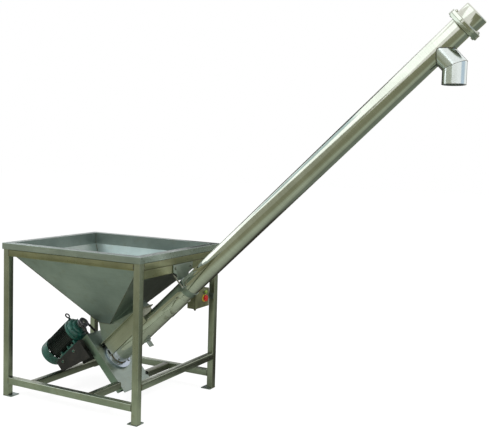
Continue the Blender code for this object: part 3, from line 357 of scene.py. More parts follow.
def edgesOf(verts):
    return list({edge for vert in verts for edge in vert.link_edges})


def facesOf(verts):
    return list({face for vert in verts for face in vert.link_faces})


def vertsIn(made):
    return [item for item in made if isinstance(item, bmesh.types.BMVert)]


def farEdges(made, ring):
    edges = [item for item in made if isinstance(item, bmesh.types.BMEdge)]
    return [edge for edge in edges if all(vert in ring for vert in edge.verts)]


def pushOutline(bm, points, shift):
    # a flat outline pushed into a slab; gives back the far corners
    face = bm.faces.new([bm.verts.new(point) for point in points])
    moved = vertsIn(bmesh.ops.extrude_face_region(bm, geom=[face])["geom"])
    bmesh.ops.translate(bm, vec=shift, verts=moved)
    return moved


def cylinder(bm, radius, depth, segments, matrix):
    return bmesh.ops.create_cone(
        bm, cap_ends=True, segments=segments, radius1=radius, radius2=radius, depth=depth, matrix=matrix,
    )["verts"]


def around(station, reach, angle):
    # a point beside the X axis: place along it, distance from it, angle from Y
    return Vector((station, reach * math.cos(angle), reach * math.sin(angle)))


def bevelEdges(bm, edges, offset, segments=2):
    return bmesh.ops.bevel(
        bm, geom=edges, offset=offset, offset_type="OFFSET", segments=segments, profile=0.5, affect="EDGES",
        material=-1,
    )


def turnTo(place, direction):
    # a matrix whose Z points along the direction
    return Matrix.Translation(place) @ Vector(direction).to_track_quat("Z", "Y").to_matrix().to_4x4()


def roundBox(bm, low, high, radius, segments=2, matrix=None, material=0):
    size = Vector(high) - Vector(low)
    centre = (Vector(high) + Vector(low)) / 2
    verts = bmesh.ops.create_cube(bm, size=1.0)["verts"]
    bmesh.ops.scale(bm, vec=size, verts=verts)
    bmesh.ops.translate(bm, vec=centre, verts=verts)
    faces = facesOf(verts)
    made = bevelEdges(bm, edgesOf(verts), radius, segments)
    faces = [face for face in set(faces) | set(made["faces"]) if face.is_valid]
    for face in faces:
        face.material_index = material
    verts = list({vert for face in faces for vert in face.verts})
    if matrix:
        bmesh.ops.transform(bm, matrix=matrix, verts=verts)
    return verts


def spinProfile(bm, profile, segments, matrix=None, closed=True, material=0):
    # (place along X, radius) pairs turned round X
    before = set(bm.faces)
    points = [bm.verts.new((along, 0.0, radius)) for along, radius in profile]
    pairs = list(zip(points, points[1:]))
    if closed:
        pairs.append((points[-1], points[0]))
    edges = [bm.edges.new(pair) for pair in pairs]
    bmesh.ops.spin(
        bm, geom=points + edges, cent=(0, 0, 0), axis=(1, 0, 0), angle=math.tau, steps=segments,
        use_merge=True, use_duplicate=False,
    )
    faces = [face for face in bm.faces if face not in before]
    verts = list({vert for face in faces for vert in face.verts})
    bmesh.ops.remove_doubles(bm, verts=verts, dist=1e-6)
    faces = [face for face in bm.faces if face not in before]
    for face in faces:
        face.material_index = material
    verts = list({vert for face in faces for vert in face.verts})
    if matrix:
        bmesh.ops.transform(bm, matrix=matrix, verts=verts)
    return verts


def roundedProfile(profile, radius, steps=3):
    # rounds the corners of a closed profile with short arcs
    rounded = []
    count = len(profile)
    for index, corner in enumerate(profile):
        here = Vector(corner)
        before = Vector(profile[index - 1]) - here
        after = Vector(profile[(index + 1) % count]) - here
        reach = min(radius, before.length * 0.45, after.length * 0.45)
        start = here + before.normalized() * reach
        end = here + after.normalized() * reach
        for step in range(steps + 1):
            share = step / steps
            point = start.lerp(here, share).lerp(here.lerp(end, share), share)
            rounded.append((point.x, point.y))
    return rounded


def hexHead(bm, place, direction, across=0.013, height=0.005, washer=0.0012, material=0, stud=0.0):
    # washer, chamfered hexagon and a short stud end, standing on a face
    matrix = turnTo(place, direction)
    if washer:
        rim = across * 0.78
        bevel = washer * 0.3
        profile = [(0.0, 0.0), (0.0, rim), (-washer * 0.7, rim), (-washer, rim - bevel), (-washer, 0.0)]
        spinProfile(bm, profile, 20, matrix @ quarterY, False, material)
    radius = across / math.sqrt(3)
    head = cylinder(bm, radius, height, 6, matrix @ Matrix.Translation((0, 0, washer + height / 2)))
    top = (matrix.to_3x3() @ Vector((0, 0, 1))).normalized()
    faces = facesOf(head)
    lid = max(faces, key=lambda face: face.calc_center_median().dot(top))
    made = bevelEdges(bm, list(lid.edges), height * 0.16, 2)
    for face in set(faces) | set(made["faces"]):
        if face.is_valid:
            face.material_index = material
    if stud:
        thick = radius * 0.52
        profile = [(0.0, 0.0), (0.0, thick), (-stud + 0.0008, thick), (-stud, radius * 0.4), (-stud, 0.0)]
        lift = matrix @ Matrix.Translation((0, 0, washer + height - 0.0005))
        spinProfile(bm, profile, 14, lift @ quarterY, False, material)


def sweepBead(bm, path, radius, ripple=0.18, material=0):
    # a bead pushed from point to point; its thickness ripples as a hand-laid weld does
    path = [Vector(point) for point in path]
    direction = (path[1] - path[0]).normalized()
    ring = bmesh.ops.create_circle(
        bm, cap_ends=True, segments=6, radius=radius, matrix=turnTo(path[0], direction)
    )["verts"]
    faces = facesOf(ring)
    edges = edgesOf(ring)
    count = len(path)
    before = direction
    for index in range(1, count):
        made = bmesh.ops.extrude_edge_only(bm, edges=edges)["geom"]
        ring = vertsIn(made)
        faces += [item for item in made if isinstance(item, bmesh.types.BMFace)]
        edges = farEdges(made, ring)
        bmesh.ops.translate(bm, vec=path[index] - path[index - 1], verts=ring)
        following = path[min(index + 1, count - 1)] - path[index - 1]
        if following.length > 1e-9:
            following.normalize()
            bend = before.rotation_difference(following).to_matrix()
            bmesh.ops.rotate(bm, cent=path[index], matrix=bend, verts=ring)
            before = following
        if ripple:
            grow = 1.0 + ripple if index % 2 else 1.0 / (1.0 + ripple)
            bmesh.ops.scale(bm, vec=(grow, grow, grow), verts=ring, space=Matrix.Translation(-path[index]))
    faces += bmesh.ops.contextual_create(bm, geom=edges)["faces"]
    for face in faces:
        if face.is_valid:
            face.material_index = material


def weldLine(bm, start, end, radius=0.0018, step=0.004):
    start = Vector(start)
    end = Vector(end)
    count = max(2, round((end - start).length / step))
    sweepBead(bm, [start.lerp(end, k / count) for k in range(count + 1)], radius)


def circlePath(matrix, radius, steps, height=0.0):
    angles = [math.tau * index / steps for index in range(steps + 1)]
    return [matrix @ around(height, radius, angle) for angle in angles]


def cutWith(piece, cutters):
    # takes the cutters out of a piece and keeps only the result
    for cutter in cutters:
        modifier = piece.modifiers.new("cut", "BOOLEAN")
        modifier.operation = "DIFFERENCE"
        modifier.solver = "EXACT"
        modifier.object = cutter
    graph = bpy.context.evaluated_depsgraph_get()
    mesh = bpy.data.meshes.new_from_object(piece.evaluated_get(graph))
    piece.modifiers.clear()
    piece.data = mesh
    for cutter in cutters:
        bpy.data.objects.remove(cutter, do_unlink=True)
    mesh.set_sharp_from_angle(angle=math.radians(38))


def cutterFrom(bm):
    bmesh.ops.recalc_face_normals(bm, faces=bm.faces)
    return placeMesh(bm, "cutter")


def softenNode(node, finish, width=0.001, segments=2, angle=30):
    # a kept CAD node gets its finish, joined corners and a small edge radius
    piece = frame["nodes"][node]
    piece.data.materials.clear()
    piece.data.materials.append(finish)
    weld = piece.modifiers.new("joinCorners", "WELD")
    weld.merge_threshold = 0.00001
    edge = piece.modifiers.new("edgeRadius", "BEVEL")
    edge.width = width
    edge.segments = segments
    edge.limit_method = "ANGLE"
    edge.angle_limit = math.radians(angle)
    edge.harden_normals = True


corners = ("front_left", "front_right", "back_right", "back_left")
squareTube = {"corner": 0.0045, "wall": 0.002, "openDepth": 0.030, "cornerSteps": 4}


def makeSquareTube(node, axis, finish):
    # square tube with rounded corners and open ends
    low, high = (Vector(corner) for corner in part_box(node))
    bm = bmesh.new()
    verts = bmesh.ops.create_cube(bm, size=1.0)["verts"]
    bmesh.ops.scale(bm, vec=high - low, verts=verts)
    bmesh.ops.translate(bm, vec=(high + low) / 2, verts=verts)
    edges = [edge for edge in bm.edges if abs((edge.verts[0].co - edge.verts[1].co)[axis]) > 0.05]
    bevelEdges(bm, edges, squareTube["corner"], squareTube["cornerSteps"])
    for end in (low[axis], high[axis]):
        lids = [face for face in bm.faces if all(abs(v.co[axis] - end) < 1e-6 for v in face.verts)]
        bmesh.ops.inset_region(bm, faces=lids, thickness=squareTube["wall"], use_even_offset=True)
        inner = vertsIn(bmesh.ops.extrude_face_region(bm, geom=lids)["geom"])
        inward = Vector((0.0, 0.0, 0.0))
        inward[axis] = squareTube["openDepth"] if end == low[axis] else -squareTube["openDepth"]
        bmesh.ops.translate(bm, vec=inward, verts=inner)
        bmesh.ops.delete(bm, geom=[face for face in lids if face.is_valid], context="FACES_ONLY")
    finishPiece("tube_" + node, bm, finish, stands=(node,), smooth=50)


for corner in corners:
    makeSquareTube("leg_" + corner, 2, postZ)
for node, axis, finish in (
    ("top_rail_front", 0, shadedTopX), ("top_rail_back", 0, shadedTopX), ("top_rail_left", 1, shadedTopY),
    ("top_rail_right", 1, shadedTopY),
    ("low_rail_front", 0, railX), ("low_rail_back", 0, railX), ("low_rail_right", 1, railY),
    ("motor_beam", 1, shadedBeamY), ("plate_beam_front", 1, shadedBeamY), ("plate_beam_back", 1, shadedBeamY),
):
    makeSquareTube(node, axis, finish)
for corner in corners:
    softenNode("foot_plate_" + corner, hopperSheet, 0.0012)

frameWeld = {"radius": 0.0022, "sink": 0.0008, "step": 0.0045}


def weldRound(bm, low, high, axis, place):
    # a bead round the end of a square tube, where it meets its neighbour
    inset = squareTube["corner"]
    sink = frameWeld["sink"]
    others = [k for k in range(3) if k != axis]
    for along, beside in (others, others[::-1]):
        for level in (low[beside] + sink, high[beside] - sink):
            ends = (Vector(), Vector())
            for point, value in zip(ends, (low[along] + inset, high[along] - inset)):
                point[axis] = place
                point[along] = value
                point[beside] = level
            weldLine(bm, *ends, frameWeld["radius"], frameWeld["step"])


bm = bmesh.new()
for node, axis in (
    ("low_rail_front", 0), ("low_rail_back", 0), ("low_rail_right", 1), ("motor_beam", 1),
    ("top_rail_front", 0), ("top_rail_back", 0), ("top_rail_right", 1), ("top_rail_left", 1),
):
    low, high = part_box(node)
    weldRound(bm, low, high, axis, low[axis])
    weldRound(bm, low, high, axis, high[axis])
for node, end in (("plate_beam_front", 0), ("plate_beam_back", 1)):
    low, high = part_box(node)
    weldRound(bm, low, high, 1, (low, high)[end][1])
for corner in corners:
    low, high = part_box("leg_" + corner)
    weldRound(bm, low, high, 2, low[2])
finishPiece("frameWelds", bm, weldMetal, smooth=60, clean=False)
print("frame made")


hopperValues = {
    "edge": 0.0012, "seam": 0.0016, "step": 0.006, "foldDepth": 0.071, "inside": 0.0052, "corner": 0.0030,
    "mitre": 0.0009, "mitreLength": 0.041,
}
softenNode("hopper_rim", rimSheet, 0.0022, 3)
softenNode("hopper", hopperSheet, hopperValues["edge"], 2, 20)
softenNode("outlet_chute", crossSheet, 0.0008)
softenNode("inlet_box", lineSheet, 0.0008, 2)

hopperLow, hopperHigh = (Vector(corner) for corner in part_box("hopper"))
rimLow, rimHigh = (Vector(corner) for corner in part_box("hopper_rim"))
outlet = {"left": -0.053, "right": 0.030, "half": 0.070}
sides = (("left", -1), ("right", -1), ("right", 1), ("left", 1))
outletCorners = [
    Vector((frameCentre.x + outlet[end], side * outlet["half"], hopperLow.z)) for end, side in sides
]
hopperX = {"left": hopperLow.x, "right": hopperHigh.x}
foldHeight = rimHigh.z - hopperValues["foldDepth"]
foldCorners = [Vector((hopperX[end], hopperHigh.y * side, foldHeight)) for end, side in sides]


def towardMiddle(place):
    # one step inward along X and along Y
    return Vector((math.copysign(1, frameCentre.x - place.x), math.copysign(1, -place.y), 0.0))


bm = bmesh.new()
for top, bottom in zip(foldCorners, outletCorners):
    lean = (bottom - top).normalized()
    weldLine(bm, top + lean * 0.004, bottom - lean * 0.004, hopperValues["seam"], hopperValues["step"])
    inward = Vector((frameCentre.x - top.x, -top.y, 0.0)).normalized() * hopperValues["inside"]
    start = top + inward + lean * 0.01
    weldLine(bm, start, bottom + inward * 0.8 - lean * 0.01, hopperValues["seam"], hopperValues["step"])
for top in foldCorners:
    inward = towardMiddle(top) * hopperValues["corner"]
    end = Vector((top.x, top.y, rimHigh.z - 0.003)) + inward
    weldLine(bm, top + inward, end, hopperValues["seam"], hopperValues["step"])
# mitre seams across the rim's corners
for x, y in ((rimLow.x, rimLow.y), (rimHigh.x, rimLow.y), (rimHigh.x, rimHigh.y), (rimLow.x, rimHigh.y)):
    start = Vector((x, y, rimHigh.z - hopperValues["mitre"]))
    inward = towardMiddle(start)
    start += inward * 0.002
    weldLine(bm, start, start + inward * hopperValues["mitreLength"], hopperValues["mitre"])
# outlet seam under the hopper, left open at the right where the tube passes
for first, second in ((0, 1), (2, 3), (3, 0)):
    weldLine(bm, outletCorners[first], outletCorners[second], hopperValues["seam"], 0.005)
finishPiece("hopperSeams", bm, weldMetal, smooth=60, clean=False)
print("hopper made")


tubeValues = {
    "start": 0.0473, "end": 2.7330, "inletStart": 0.0745, "inletEnd": 0.3915, "spout": 2.580,
    "spoutBore": 0.0505, "hatchStart": 0.535, "hatchEnd": 0.655, "hatchTop": -0.027,
}
radius = line["tubeRadius"]
bore = radius - line["tubeWall"]
bm = bmesh.new()
start = tubeValues["start"]
end = tubeValues["end"]
profile = roundedProfile([(start, bore), (start, radius), (end, radius), (end, bore)], 0.0006, 2)
spinProfile(bm, profile, line["roundSteps"], lineFrame)
tube = finishPiece("conveyorTube", bm, tubeSteel, stands=("conveyor_tube",), smooth=40)
cutters = []
for low, high in (
    ((tubeValues["inletStart"], -0.048, 0.0), (tubeValues["inletEnd"], 0.048, 0.12)),
    ((tubeValues["hatchStart"], -0.048, -0.12), (tubeValues["hatchEnd"], 0.048, tubeValues["hatchTop"])),
):
    bm = bmesh.new()
    roundBox(bm, low, high, 0.006, 3, lineFrame)
    cutters.append(cutterFrom(bm))
bm = bmesh.new()
matrix = lineFrame @ Matrix.Translation((tubeValues["spout"], 0.0, -0.06))
cylinder(bm, tubeValues["spoutBore"], 0.12, 64, matrix)
cutters.append(cutterFrom(bm))
cutWith(tube, cutters)

flangeValues = {
    "radius": 0.0875, "lower": 0.012, "upper": 0.015, "gap": 0.0003, "edge": 0.0014, "chamfer": 0.0012,
    "boltAcross": 0.0128, "boltWasher": 0.0010, "bead": 0.0022, "beadRise": 0.0012,
}
gap = flangeValues["gap"]
rimRadius = flangeValues["radius"]
boltReach = (radius + rimRadius) / 2 + 0.001
boltAcross = flangeValues["boltAcross"]
boltWasher = flangeValues["boltWasher"]


def makeFlange(name, start, end, node, boltWay, boltAngles, finish):
    # turned ring with its bolt heads and the fillet weld on the side away from the joint
    bm = bmesh.new()
    profile = [(start, radius + gap), (start, rimRadius), (end, rimRadius), (end, radius + gap)]
    spinProfile(bm, roundedProfile(profile, flangeValues["edge"], 3), line["roundSteps"], lineFrame)
    face = end if boltWay > 0 else start
    for angle in boltAngles:
        place = lineFrame @ around(face, boltReach, math.radians(angle))
        hexHead(bm, place, axisDirection * boltWay, boltAcross, 0.0048, boltWasher, 1)
    rise = flangeValues["beadRise"]
    path = circlePath(lineFrame, radius + rise, 90, face + boltWay * rise)
    sweepBead(bm, path, flangeValues["bead"], 0.12, 2)
    finishPiece(name, bm, (finish, boltZinc, weldMetal), stands=(node,), smooth=36)


lowerBolts = (45, 135, 225, 315)
capBolts = (90, -90)
lowerTop = start + flangeValues["lower"]
upperFoot = end - flangeValues["upper"]
makeFlange("lowerFlange", start, lowerTop, "tube_flange_lower", 1, lowerBolts, flangeWithSkyReflection)
makeFlange("upperFlange", upperFoot, end, "tube_flange_upper", -1, capBolts, flangeSteel)

capValues = {
    "radius": 0.0635, "length": 0.064, "wall": 0.008, "flange": 0.015, "edge": 0.0068, "fillet": 0.003,
}
start = tubeValues["end"] + gap
shoulder = start + capValues["flange"]
capEnd = shoulder + capValues["length"]
bore = capValues["radius"] - capValues["wall"]
bm = bmesh.new()
chamfer = flangeValues["chamfer"]
fillet = capValues["fillet"]
edge = capValues["edge"]
profile = [
    (start, bore), (start, rimRadius - chamfer), (start + chamfer, rimRadius),
    (shoulder - chamfer, rimRadius), (shoulder, rimRadius - chamfer),
    (shoulder, capValues["radius"] + fillet),
    (shoulder + fillet * 0.4, capValues["radius"] + fillet * 0.4), (shoulder + fillet, capValues["radius"]),
]
for step in range(5):
    angle = math.pi / 2 * step / 4
    rounding = (edge * math.sin(angle), edge * math.cos(angle))
    profile.append((capEnd - edge + rounding[0], capValues["radius"] - edge + rounding[1]))
profile += [(capEnd, 0.0), (capEnd - capValues["wall"], 0.0), (capEnd - capValues["wall"], bore)]
spinProfile(bm, profile, line["roundSteps"], lineFrame)
for angle in capBolts:
    place = lineFrame @ around(shoulder, boltReach, math.radians(angle))
    hexHead(bm, place, axisDirection, boltAcross, 0.0055, boltWasher, 1, 0.003)
finishPiece("endCap", bm, (tubeSteel, boltZinc), stands=("end_cap",), smooth=36)
print("tube made")


spoutValues = {
    "radius": 0.0565, "wall": 0.002, "reach": 0.112, "drop": 0.087, "steps": 96, "lip": 0.0012,
    "seam": 0.0009, "saddle": 0.0020, "smooth": 19,
}
down = Vector((0, 0, -1))
spoutCentre = lineFrame @ Vector((tubeValues["spout"], 0.0, 0.0))
downLine = lineFrame.to_3x3() @ down
bend = spoutCentre + downLine * spoutValues["reach"]
mitre = (downLine + down).normalized()


def spoutRing(radius, part, share):
    # one ring of the two-piece elbow, from the conveyor axis to the mouth
    points = []
    for index in range(spoutValues["steps"]):
        angle = math.tau * index / spoutValues["steps"]
        side = Vector((0.0, radius * math.cos(angle), 0.0))
        offset = radius * math.sin(angle)
        foot = bend + side + Vector((offset, 0.0, 0.0))
        joint = foot + down * ((bend - foot).dot(mitre) / down.dot(mitre))
        if part == 0:
            start = spoutCentre + side + axisDirection * offset
            points.append(start.lerp(joint, share))
        else:
            points.append(joint.lerp(foot + down * spoutValues["drop"], share))
    return points


def ringVerts(bm, points):
    verts = [bm.verts.new(point) for point in points]
    return [bm.edges.new((verts[k - 1], verts[k])) for k in range(len(verts))]


bm = bmesh.new()
outer = spoutValues["radius"]
mouth = 1 - spoutValues["lip"] / spoutValues["drop"]
rings = [
    ringVerts(bm, spoutRing(outer, part, share))
    for part, share in ((0, 0.04), (0, 0.96), (0, 1.0), (1, 0.05), (1, mouth), (1, 1.0))
]
for first, second in zip(rings, rings[1:]):
    bmesh.ops.bridge_loops(bm, edges=first + second)
bmesh.ops.recalc_face_normals(bm, faces=bm.faces)
bmesh.ops.solidify(bm, geom=bm.faces[:], thickness=spoutValues["wall"])
smooth = spoutValues["smooth"]
spout = finishPiece(
    "dischargeSpout", bm, spoutSteel, "machine", ("discharge_spout",), smooth,
)
bm = bmesh.new()
matrix = lineFrame @ Matrix.Translation((tubeValues["spout"], 0, 0)) @ quarterY
cylinder(bm, line["tubeRadius"] + gap, 0.4, 96, matrix)
cutWith(spout, [cutterFrom(bm)])
spout.data.set_sharp_from_angle(angle=math.radians(smooth))

bm = bmesh.new()
path = spoutRing(outer + 0.0002, 0, 1.0)
sweepBead(bm, path + path[:1], 0.0011, 0.10)
# weld where the spout meets the tube
saddle = []
branch = outer + 0.0008
for index in range(97):
    angle = math.tau * index / 96
    y = branch * math.cos(angle)
    depth = math.sqrt(max((line["tubeRadius"] + 0.0008) ** 2 - y * y, 0.0))
    saddle.append(lineFrame @ Vector((tubeValues["spout"] + branch * math.sin(angle), y, -depth)))
sweepBead(bm, saddle, spoutValues["saddle"], 0.14)
# rolled edge of the mouth
lipFrame = Matrix.Translation(bend + down * (spoutValues["drop"] - 0.0016)) @ quarterY
sweepBead(bm, circlePath(lipFrame, outer - 0.0002, 96), 0.0010, 0.0)
# sheet seam down the hidden side of both halves
seamTop = lineFrame @ Vector((tubeValues["spout"] + outer, 0, -0.030))
seamBend, seamEnd = (spoutRing(outer, part, 1.0)[spoutValues["steps"] // 4] for part in (0, 1))
weldLine(bm, seamTop, seamBend, spoutValues["seam"])
weldLine(bm, seamBend, seamEnd - down * 0.002, spoutValues["seam"])
finishPiece("spoutSeams", bm, weldMetal, smooth=60, clean=False)
print("spout made")


screwValues = {
    "shaft": 0.017, "journal": 0.015, "flight": 0.04945, "pitch": 0.100, "thick": 0.003, "start": 0.080,
    "end": 2.600, "steps": 48, "bearing": 0.020, "capClearance": 0.010,
}
bearingEnd = capEnd - capValues["wall"] - screwValues["capClearance"]
lowerShoulder = tubeValues["start"] + screwValues["bearing"] + 2 * gap
upperShoulder = bearingEnd - screwValues["bearing"] - gap
shaftStart = line["pulleyStation"] - 0.011
bm = bmesh.new()
journal = screwValues["journal"]
thick = screwValues["shaft"]
profile = [
    (shaftStart, 0.0), (shaftStart, journal - 0.001), (shaftStart + 0.001, journal), (lowerShoulder, journal),
    (lowerShoulder, thick), (upperShoulder, thick), (upperShoulder, journal), (bearingEnd, journal),
    (bearingEnd, 0.0),
]
spinProfile(bm, profile, 48, lineFrame, False)
finishPiece("screwShaft", bm, screwSteel, "screw", ("screw_shaft",))

bm = bmesh.new()
inner = screwValues["shaft"] + 0.0001
start = screwValues["start"]
end = start + screwValues["thick"]
flight = screwValues["flight"]
verts = [bm.verts.new((x, y, 0.0)) for x, y in ((start, inner), (start, flight), (end, flight), (end, inner))]
edges = [bm.edges.new((verts[k - 1], verts[k])) for k in range(4)]
bm.faces.new(verts)
turns = (screwValues["end"] - start) / screwValues["pitch"]
turn = Matrix.Rotation(math.tau / screwValues["steps"], 3, "X")
advance = (screwValues["pitch"] / screwValues["steps"], 0, 0)
for step in range(round(turns * screwValues["steps"])):
    made = bmesh.ops.extrude_edge_only(bm, edges=edges)["geom"]
    ring = vertsIn(made)
    edges = farEdges(made, ring)
    bmesh.ops.rotate(bm, cent=(0, 0, 0), matrix=turn, verts=ring)
    bmesh.ops.translate(bm, vec=advance, verts=ring)
bmesh.ops.contextual_create(bm, geom=edges)
bmesh.ops.transform(bm, matrix=lineFrame, verts=bm.verts)
finishPiece("screwFlight", bm, screwSteel, "screw", ("screw_flight",), smooth=45)

for name, node, start, outer in (
    ("lowerBearing", "lower_bearing", tubeValues["start"] + gap, line["tubeRadius"] - line["tubeWall"] - gap),
    ("upperBearing", "upper_bearing", bearingEnd - screwValues["bearing"], bore - gap),
):
    inner = screwValues["journal"] + gap
    end = start + screwValues["bearing"]
    # both faces are hollowed between the two rings
    half = [(inner, 0.0), (inner + 0.006, 0.0), (inner + 0.007, 0.0015), (outer - 0.007, 0.0015),
            (outer - 0.006, 0.0), (outer, 0.0)]
    profile = [(start + hollow, reach) for reach, hollow in half]
    profile += [(end - hollow, reach) for reach, hollow in reversed(half)]
    bm = bmesh.new()
    spinProfile(bm, profile, 64, lineFrame)
    finishPiece(name, bm, bearingSteel, "machine", (node,))
print("screw made")


beltValues = {
    "screwRadius": 0.060, "motorRadius": 0.030, "width": 0.022, "beltWidth": 0.013, "depth": 0.008,
    "steps": 48, "hub": 0.009, "edge": 0.0006, "hole": 0.0065,
}
motorPlace = lineInverse @ Vector(joints["motor_spin"]["pos_m"])
motorFrame = lineFrame @ Matrix.Translation((0.0, motorPlace.y, motorPlace.z))


def makePulley(name, node, radius, boreRadius, matrix, body, holes):
    # a grooved wheel; a large one is dished between hub and rim and has holes in its web
    half = beltValues["width"] / 2
    edge = beltValues["edge"]
    rim = radius + 0.002
    floor = radius - beltValues["depth"] - 0.002
    groove = beltValues["beltWidth"] / 2 + 0.001
    middle = line["pulleyStation"]
    hub = boreRadius + beltValues["hub"]
    web = floor - 0.005
    # one side from the bore to the belt groove, mirrored for the other side
    side = [(half, boreRadius), (half, hub)]
    if web > hub + 0.006:
        side += [(half - 0.001, hub + 0.001), (0.004, hub + 0.002), (0.004, web - 0.002), (half - 0.001, web)]
    side += [(half, web + 0.001), (half, rim - edge), (half - edge, rim), (groove + 0.0004, rim),
             (groove, rim - 0.0004), (groove - 0.0015, floor)]
    profile = [(middle - along, reach) for along, reach in side]
    profile += [(middle + along, reach) for along, reach in reversed(side)]
    bm = bmesh.new()
    spinProfile(bm, profile, 72, matrix)
    piece = finishPiece(name, bm, pulleyIron, body, (node,), 34)
    cutters = []
    for index in range(holes):
        place = around(middle, (hub + web) / 2, math.tau * index / holes)
        bm = bmesh.new()
        cylinder(bm, beltValues["hole"], 0.05, 28, matrix @ Matrix.Translation(place) @ quarterY)
        cutters.append(cutterFrom(bm))
    if cutters:
        cutWith(piece, cutters)


shaftBore = 0.0123
makePulley("screwPulley", "screw_pulley", beltValues["screwRadius"], journal + gap, lineFrame, "screw", 5)
makePulley("motorPulley", "motor_pulley", beltValues["motorRadius"], shaftBore, motorFrame, "motor_rotor", 0)


def beltPath(extra):
    # the belt's line in the plane of the pulleys, with so much added outward
    span = Vector((motorPlace.y, motorPlace.z))
    tilt = math.atan2(span.y, span.x)
    lean = math.acos((beltValues["screwRadius"] - beltValues["motorRadius"]) / span.length)
    points = []
    for centre, radius, start, sweep in (
        (Vector((0.0, 0.0)), beltValues["screwRadius"], lean, math.tau - 2 * lean),
        (span, beltValues["motorRadius"], -lean, 2 * lean),
    ):
        for index in range(beltValues["steps"] + 1):
            angle = tilt + start + sweep * index / beltValues["steps"]
            points.append(centre + Vector((math.cos(angle), math.sin(angle))) * (radius + extra))
    return points


bm = bmesh.new()
half = beltValues["beltWidth"] / 2
edge = beltValues["edge"]
depth = beltValues["depth"]
loops = []
for extra, side in ((-edge, -half), (0.0, -half + edge), (0.0, half - edge), (-edge, half),
                    (-depth, half - 0.0015), (-depth, -half + 0.0015)):
    points = [Vector((line["pulleyStation"] + side, point.x, point.y)) for point in beltPath(extra)]
    loops.append(ringVerts(bm, [lineFrame @ point for point in points]))
for first, second in zip(loops, loops[1:] + loops[:1]):
    bmesh.ops.bridge_loops(bm, edges=first + second)
finishPiece("driveBelt", bm, rubber, "machine", ("drive_belt",), 30)

softenNode("end_plate", crossSheet, 0.0008)
softenNode("belt_guard", guardSheet, 0.0007, 2)
softenNode("motor_bed", bedPaint, 0.0012, 2)
print("drive made")


# the motor lies along the line of its own shaft, its places counted from the same plane as the tube's
motorValues = {
    "radius": 0.079, "core": 0.070, "fins": 44, "front": -0.064, "back": -0.248, "coverEnd": -0.320,
    "coverRadius": 0.081, "shieldFace": -0.0153, "shaft": 0.012, "bore": 0.0124, "footHeight": 0.090,
    "finWidth": 0.0022, "footStart": -0.204, "footLength": 0.140, "footReach": 0.088,
}
motorBore = motorValues["bore"]
shaftEnd = line["pulleyStation"] + beltValues["width"] / 2 + 0.004

bm = bmesh.new()
core = motorValues["core"]
start = motorValues["back"]
end = motorValues["front"]
profile = [(start, motorBore), (start, core + 0.004), (start + 0.004, core + 0.004), (start + 0.006, core),
           (end - 0.006, core), (end - 0.004, core + 0.004), (end, core + 0.004), (end, motorBore)]
spinProfile(bm, profile, 88, motorFrame)
root = core - 0.004
finSize = (end - start - 0.006, motorValues["finWidth"], motorValues["radius"] - root)
finMiddle = ((start + end) / 2, 0, (motorValues["radius"] + root) / 2)
for index in range(motorValues["fins"]):
    turn = Matrix.Rotation(math.tau * (index + 0.5) / motorValues["fins"], 4, "X")
    verts = bmesh.ops.create_cube(bm, size=1.0)["verts"]
    bmesh.ops.scale(bm, vec=finSize, verts=verts)
    bmesh.ops.translate(bm, vec=finMiddle, verts=verts)
    tips = [vert for vert in verts if vert.co.z > core]
    bmesh.ops.scale(bm, vec=(1.0, 0.6, 1.0), verts=tips)
    rims = [edge for edge in edgesOf(tips) if all(vert in tips for vert in edge.verts)]
    made = bevelEdges(bm, rims, 0.0005, 1)
    region = list({v for v in set(verts) | {v for f in made["faces"] for v in f.verts} if v.is_valid})
    bmesh.ops.transform(bm, matrix=motorFrame @ turn, verts=region)
finishPiece("motorFrame", bm, shadedMotorGreen, "machine", ("motor_frame",), 35)

bm = bmesh.new()
shieldStart = motorValues["front"] + gap
shieldNose = motorValues["shieldFace"]
depth = shieldNose - shieldStart
profile = [
    (shieldStart, motorBore), (shieldStart, 0.0782), (shieldStart + 0.001, 0.0788),
    (shieldStart + 0.013, 0.0788), (shieldStart + 0.016, 0.0775), (shieldStart + 0.018, 0.0735),
]
# the domed part between the rim and the nose
for step in range(7):
    share = step / 6
    along = shieldStart + 0.018 + (depth - 0.027) * math.sin(share * math.pi / 2)
    profile.append((along, 0.0715 - 0.0235 * share ** 1.3))
profile += [
    (shieldNose - 0.002, 0.0430), (shieldNose, 0.0395), (shieldNose, 0.028), (shieldNose - 0.0015, 0.026),
    (shieldNose - 0.0015, motorBore),
]
spinProfile(bm, profile, 88, motorFrame)
for degrees in (45, 135, 225, 315):
    place = motorFrame @ around(shieldStart + 0.019, 0.0665, math.radians(degrees))
    hexHead(bm, place, axisDirection, 0.010, 0.0045, 0.0008, 1)
for index in range(6):
    turn = Matrix.Rotation(math.tau * (index + 0.5) / 6, 4, "X")
    low = (shieldStart + 0.014, -0.002, 0.046)
    roundBox(bm, low, (shieldStart + depth - 0.010, 0.002, 0.0655), 0.0012, 2, motorFrame @ turn)
finishPiece("motorEndShield", bm, (motorGreen, boltZinc), "machine", ("motor_end_shield",), 35)

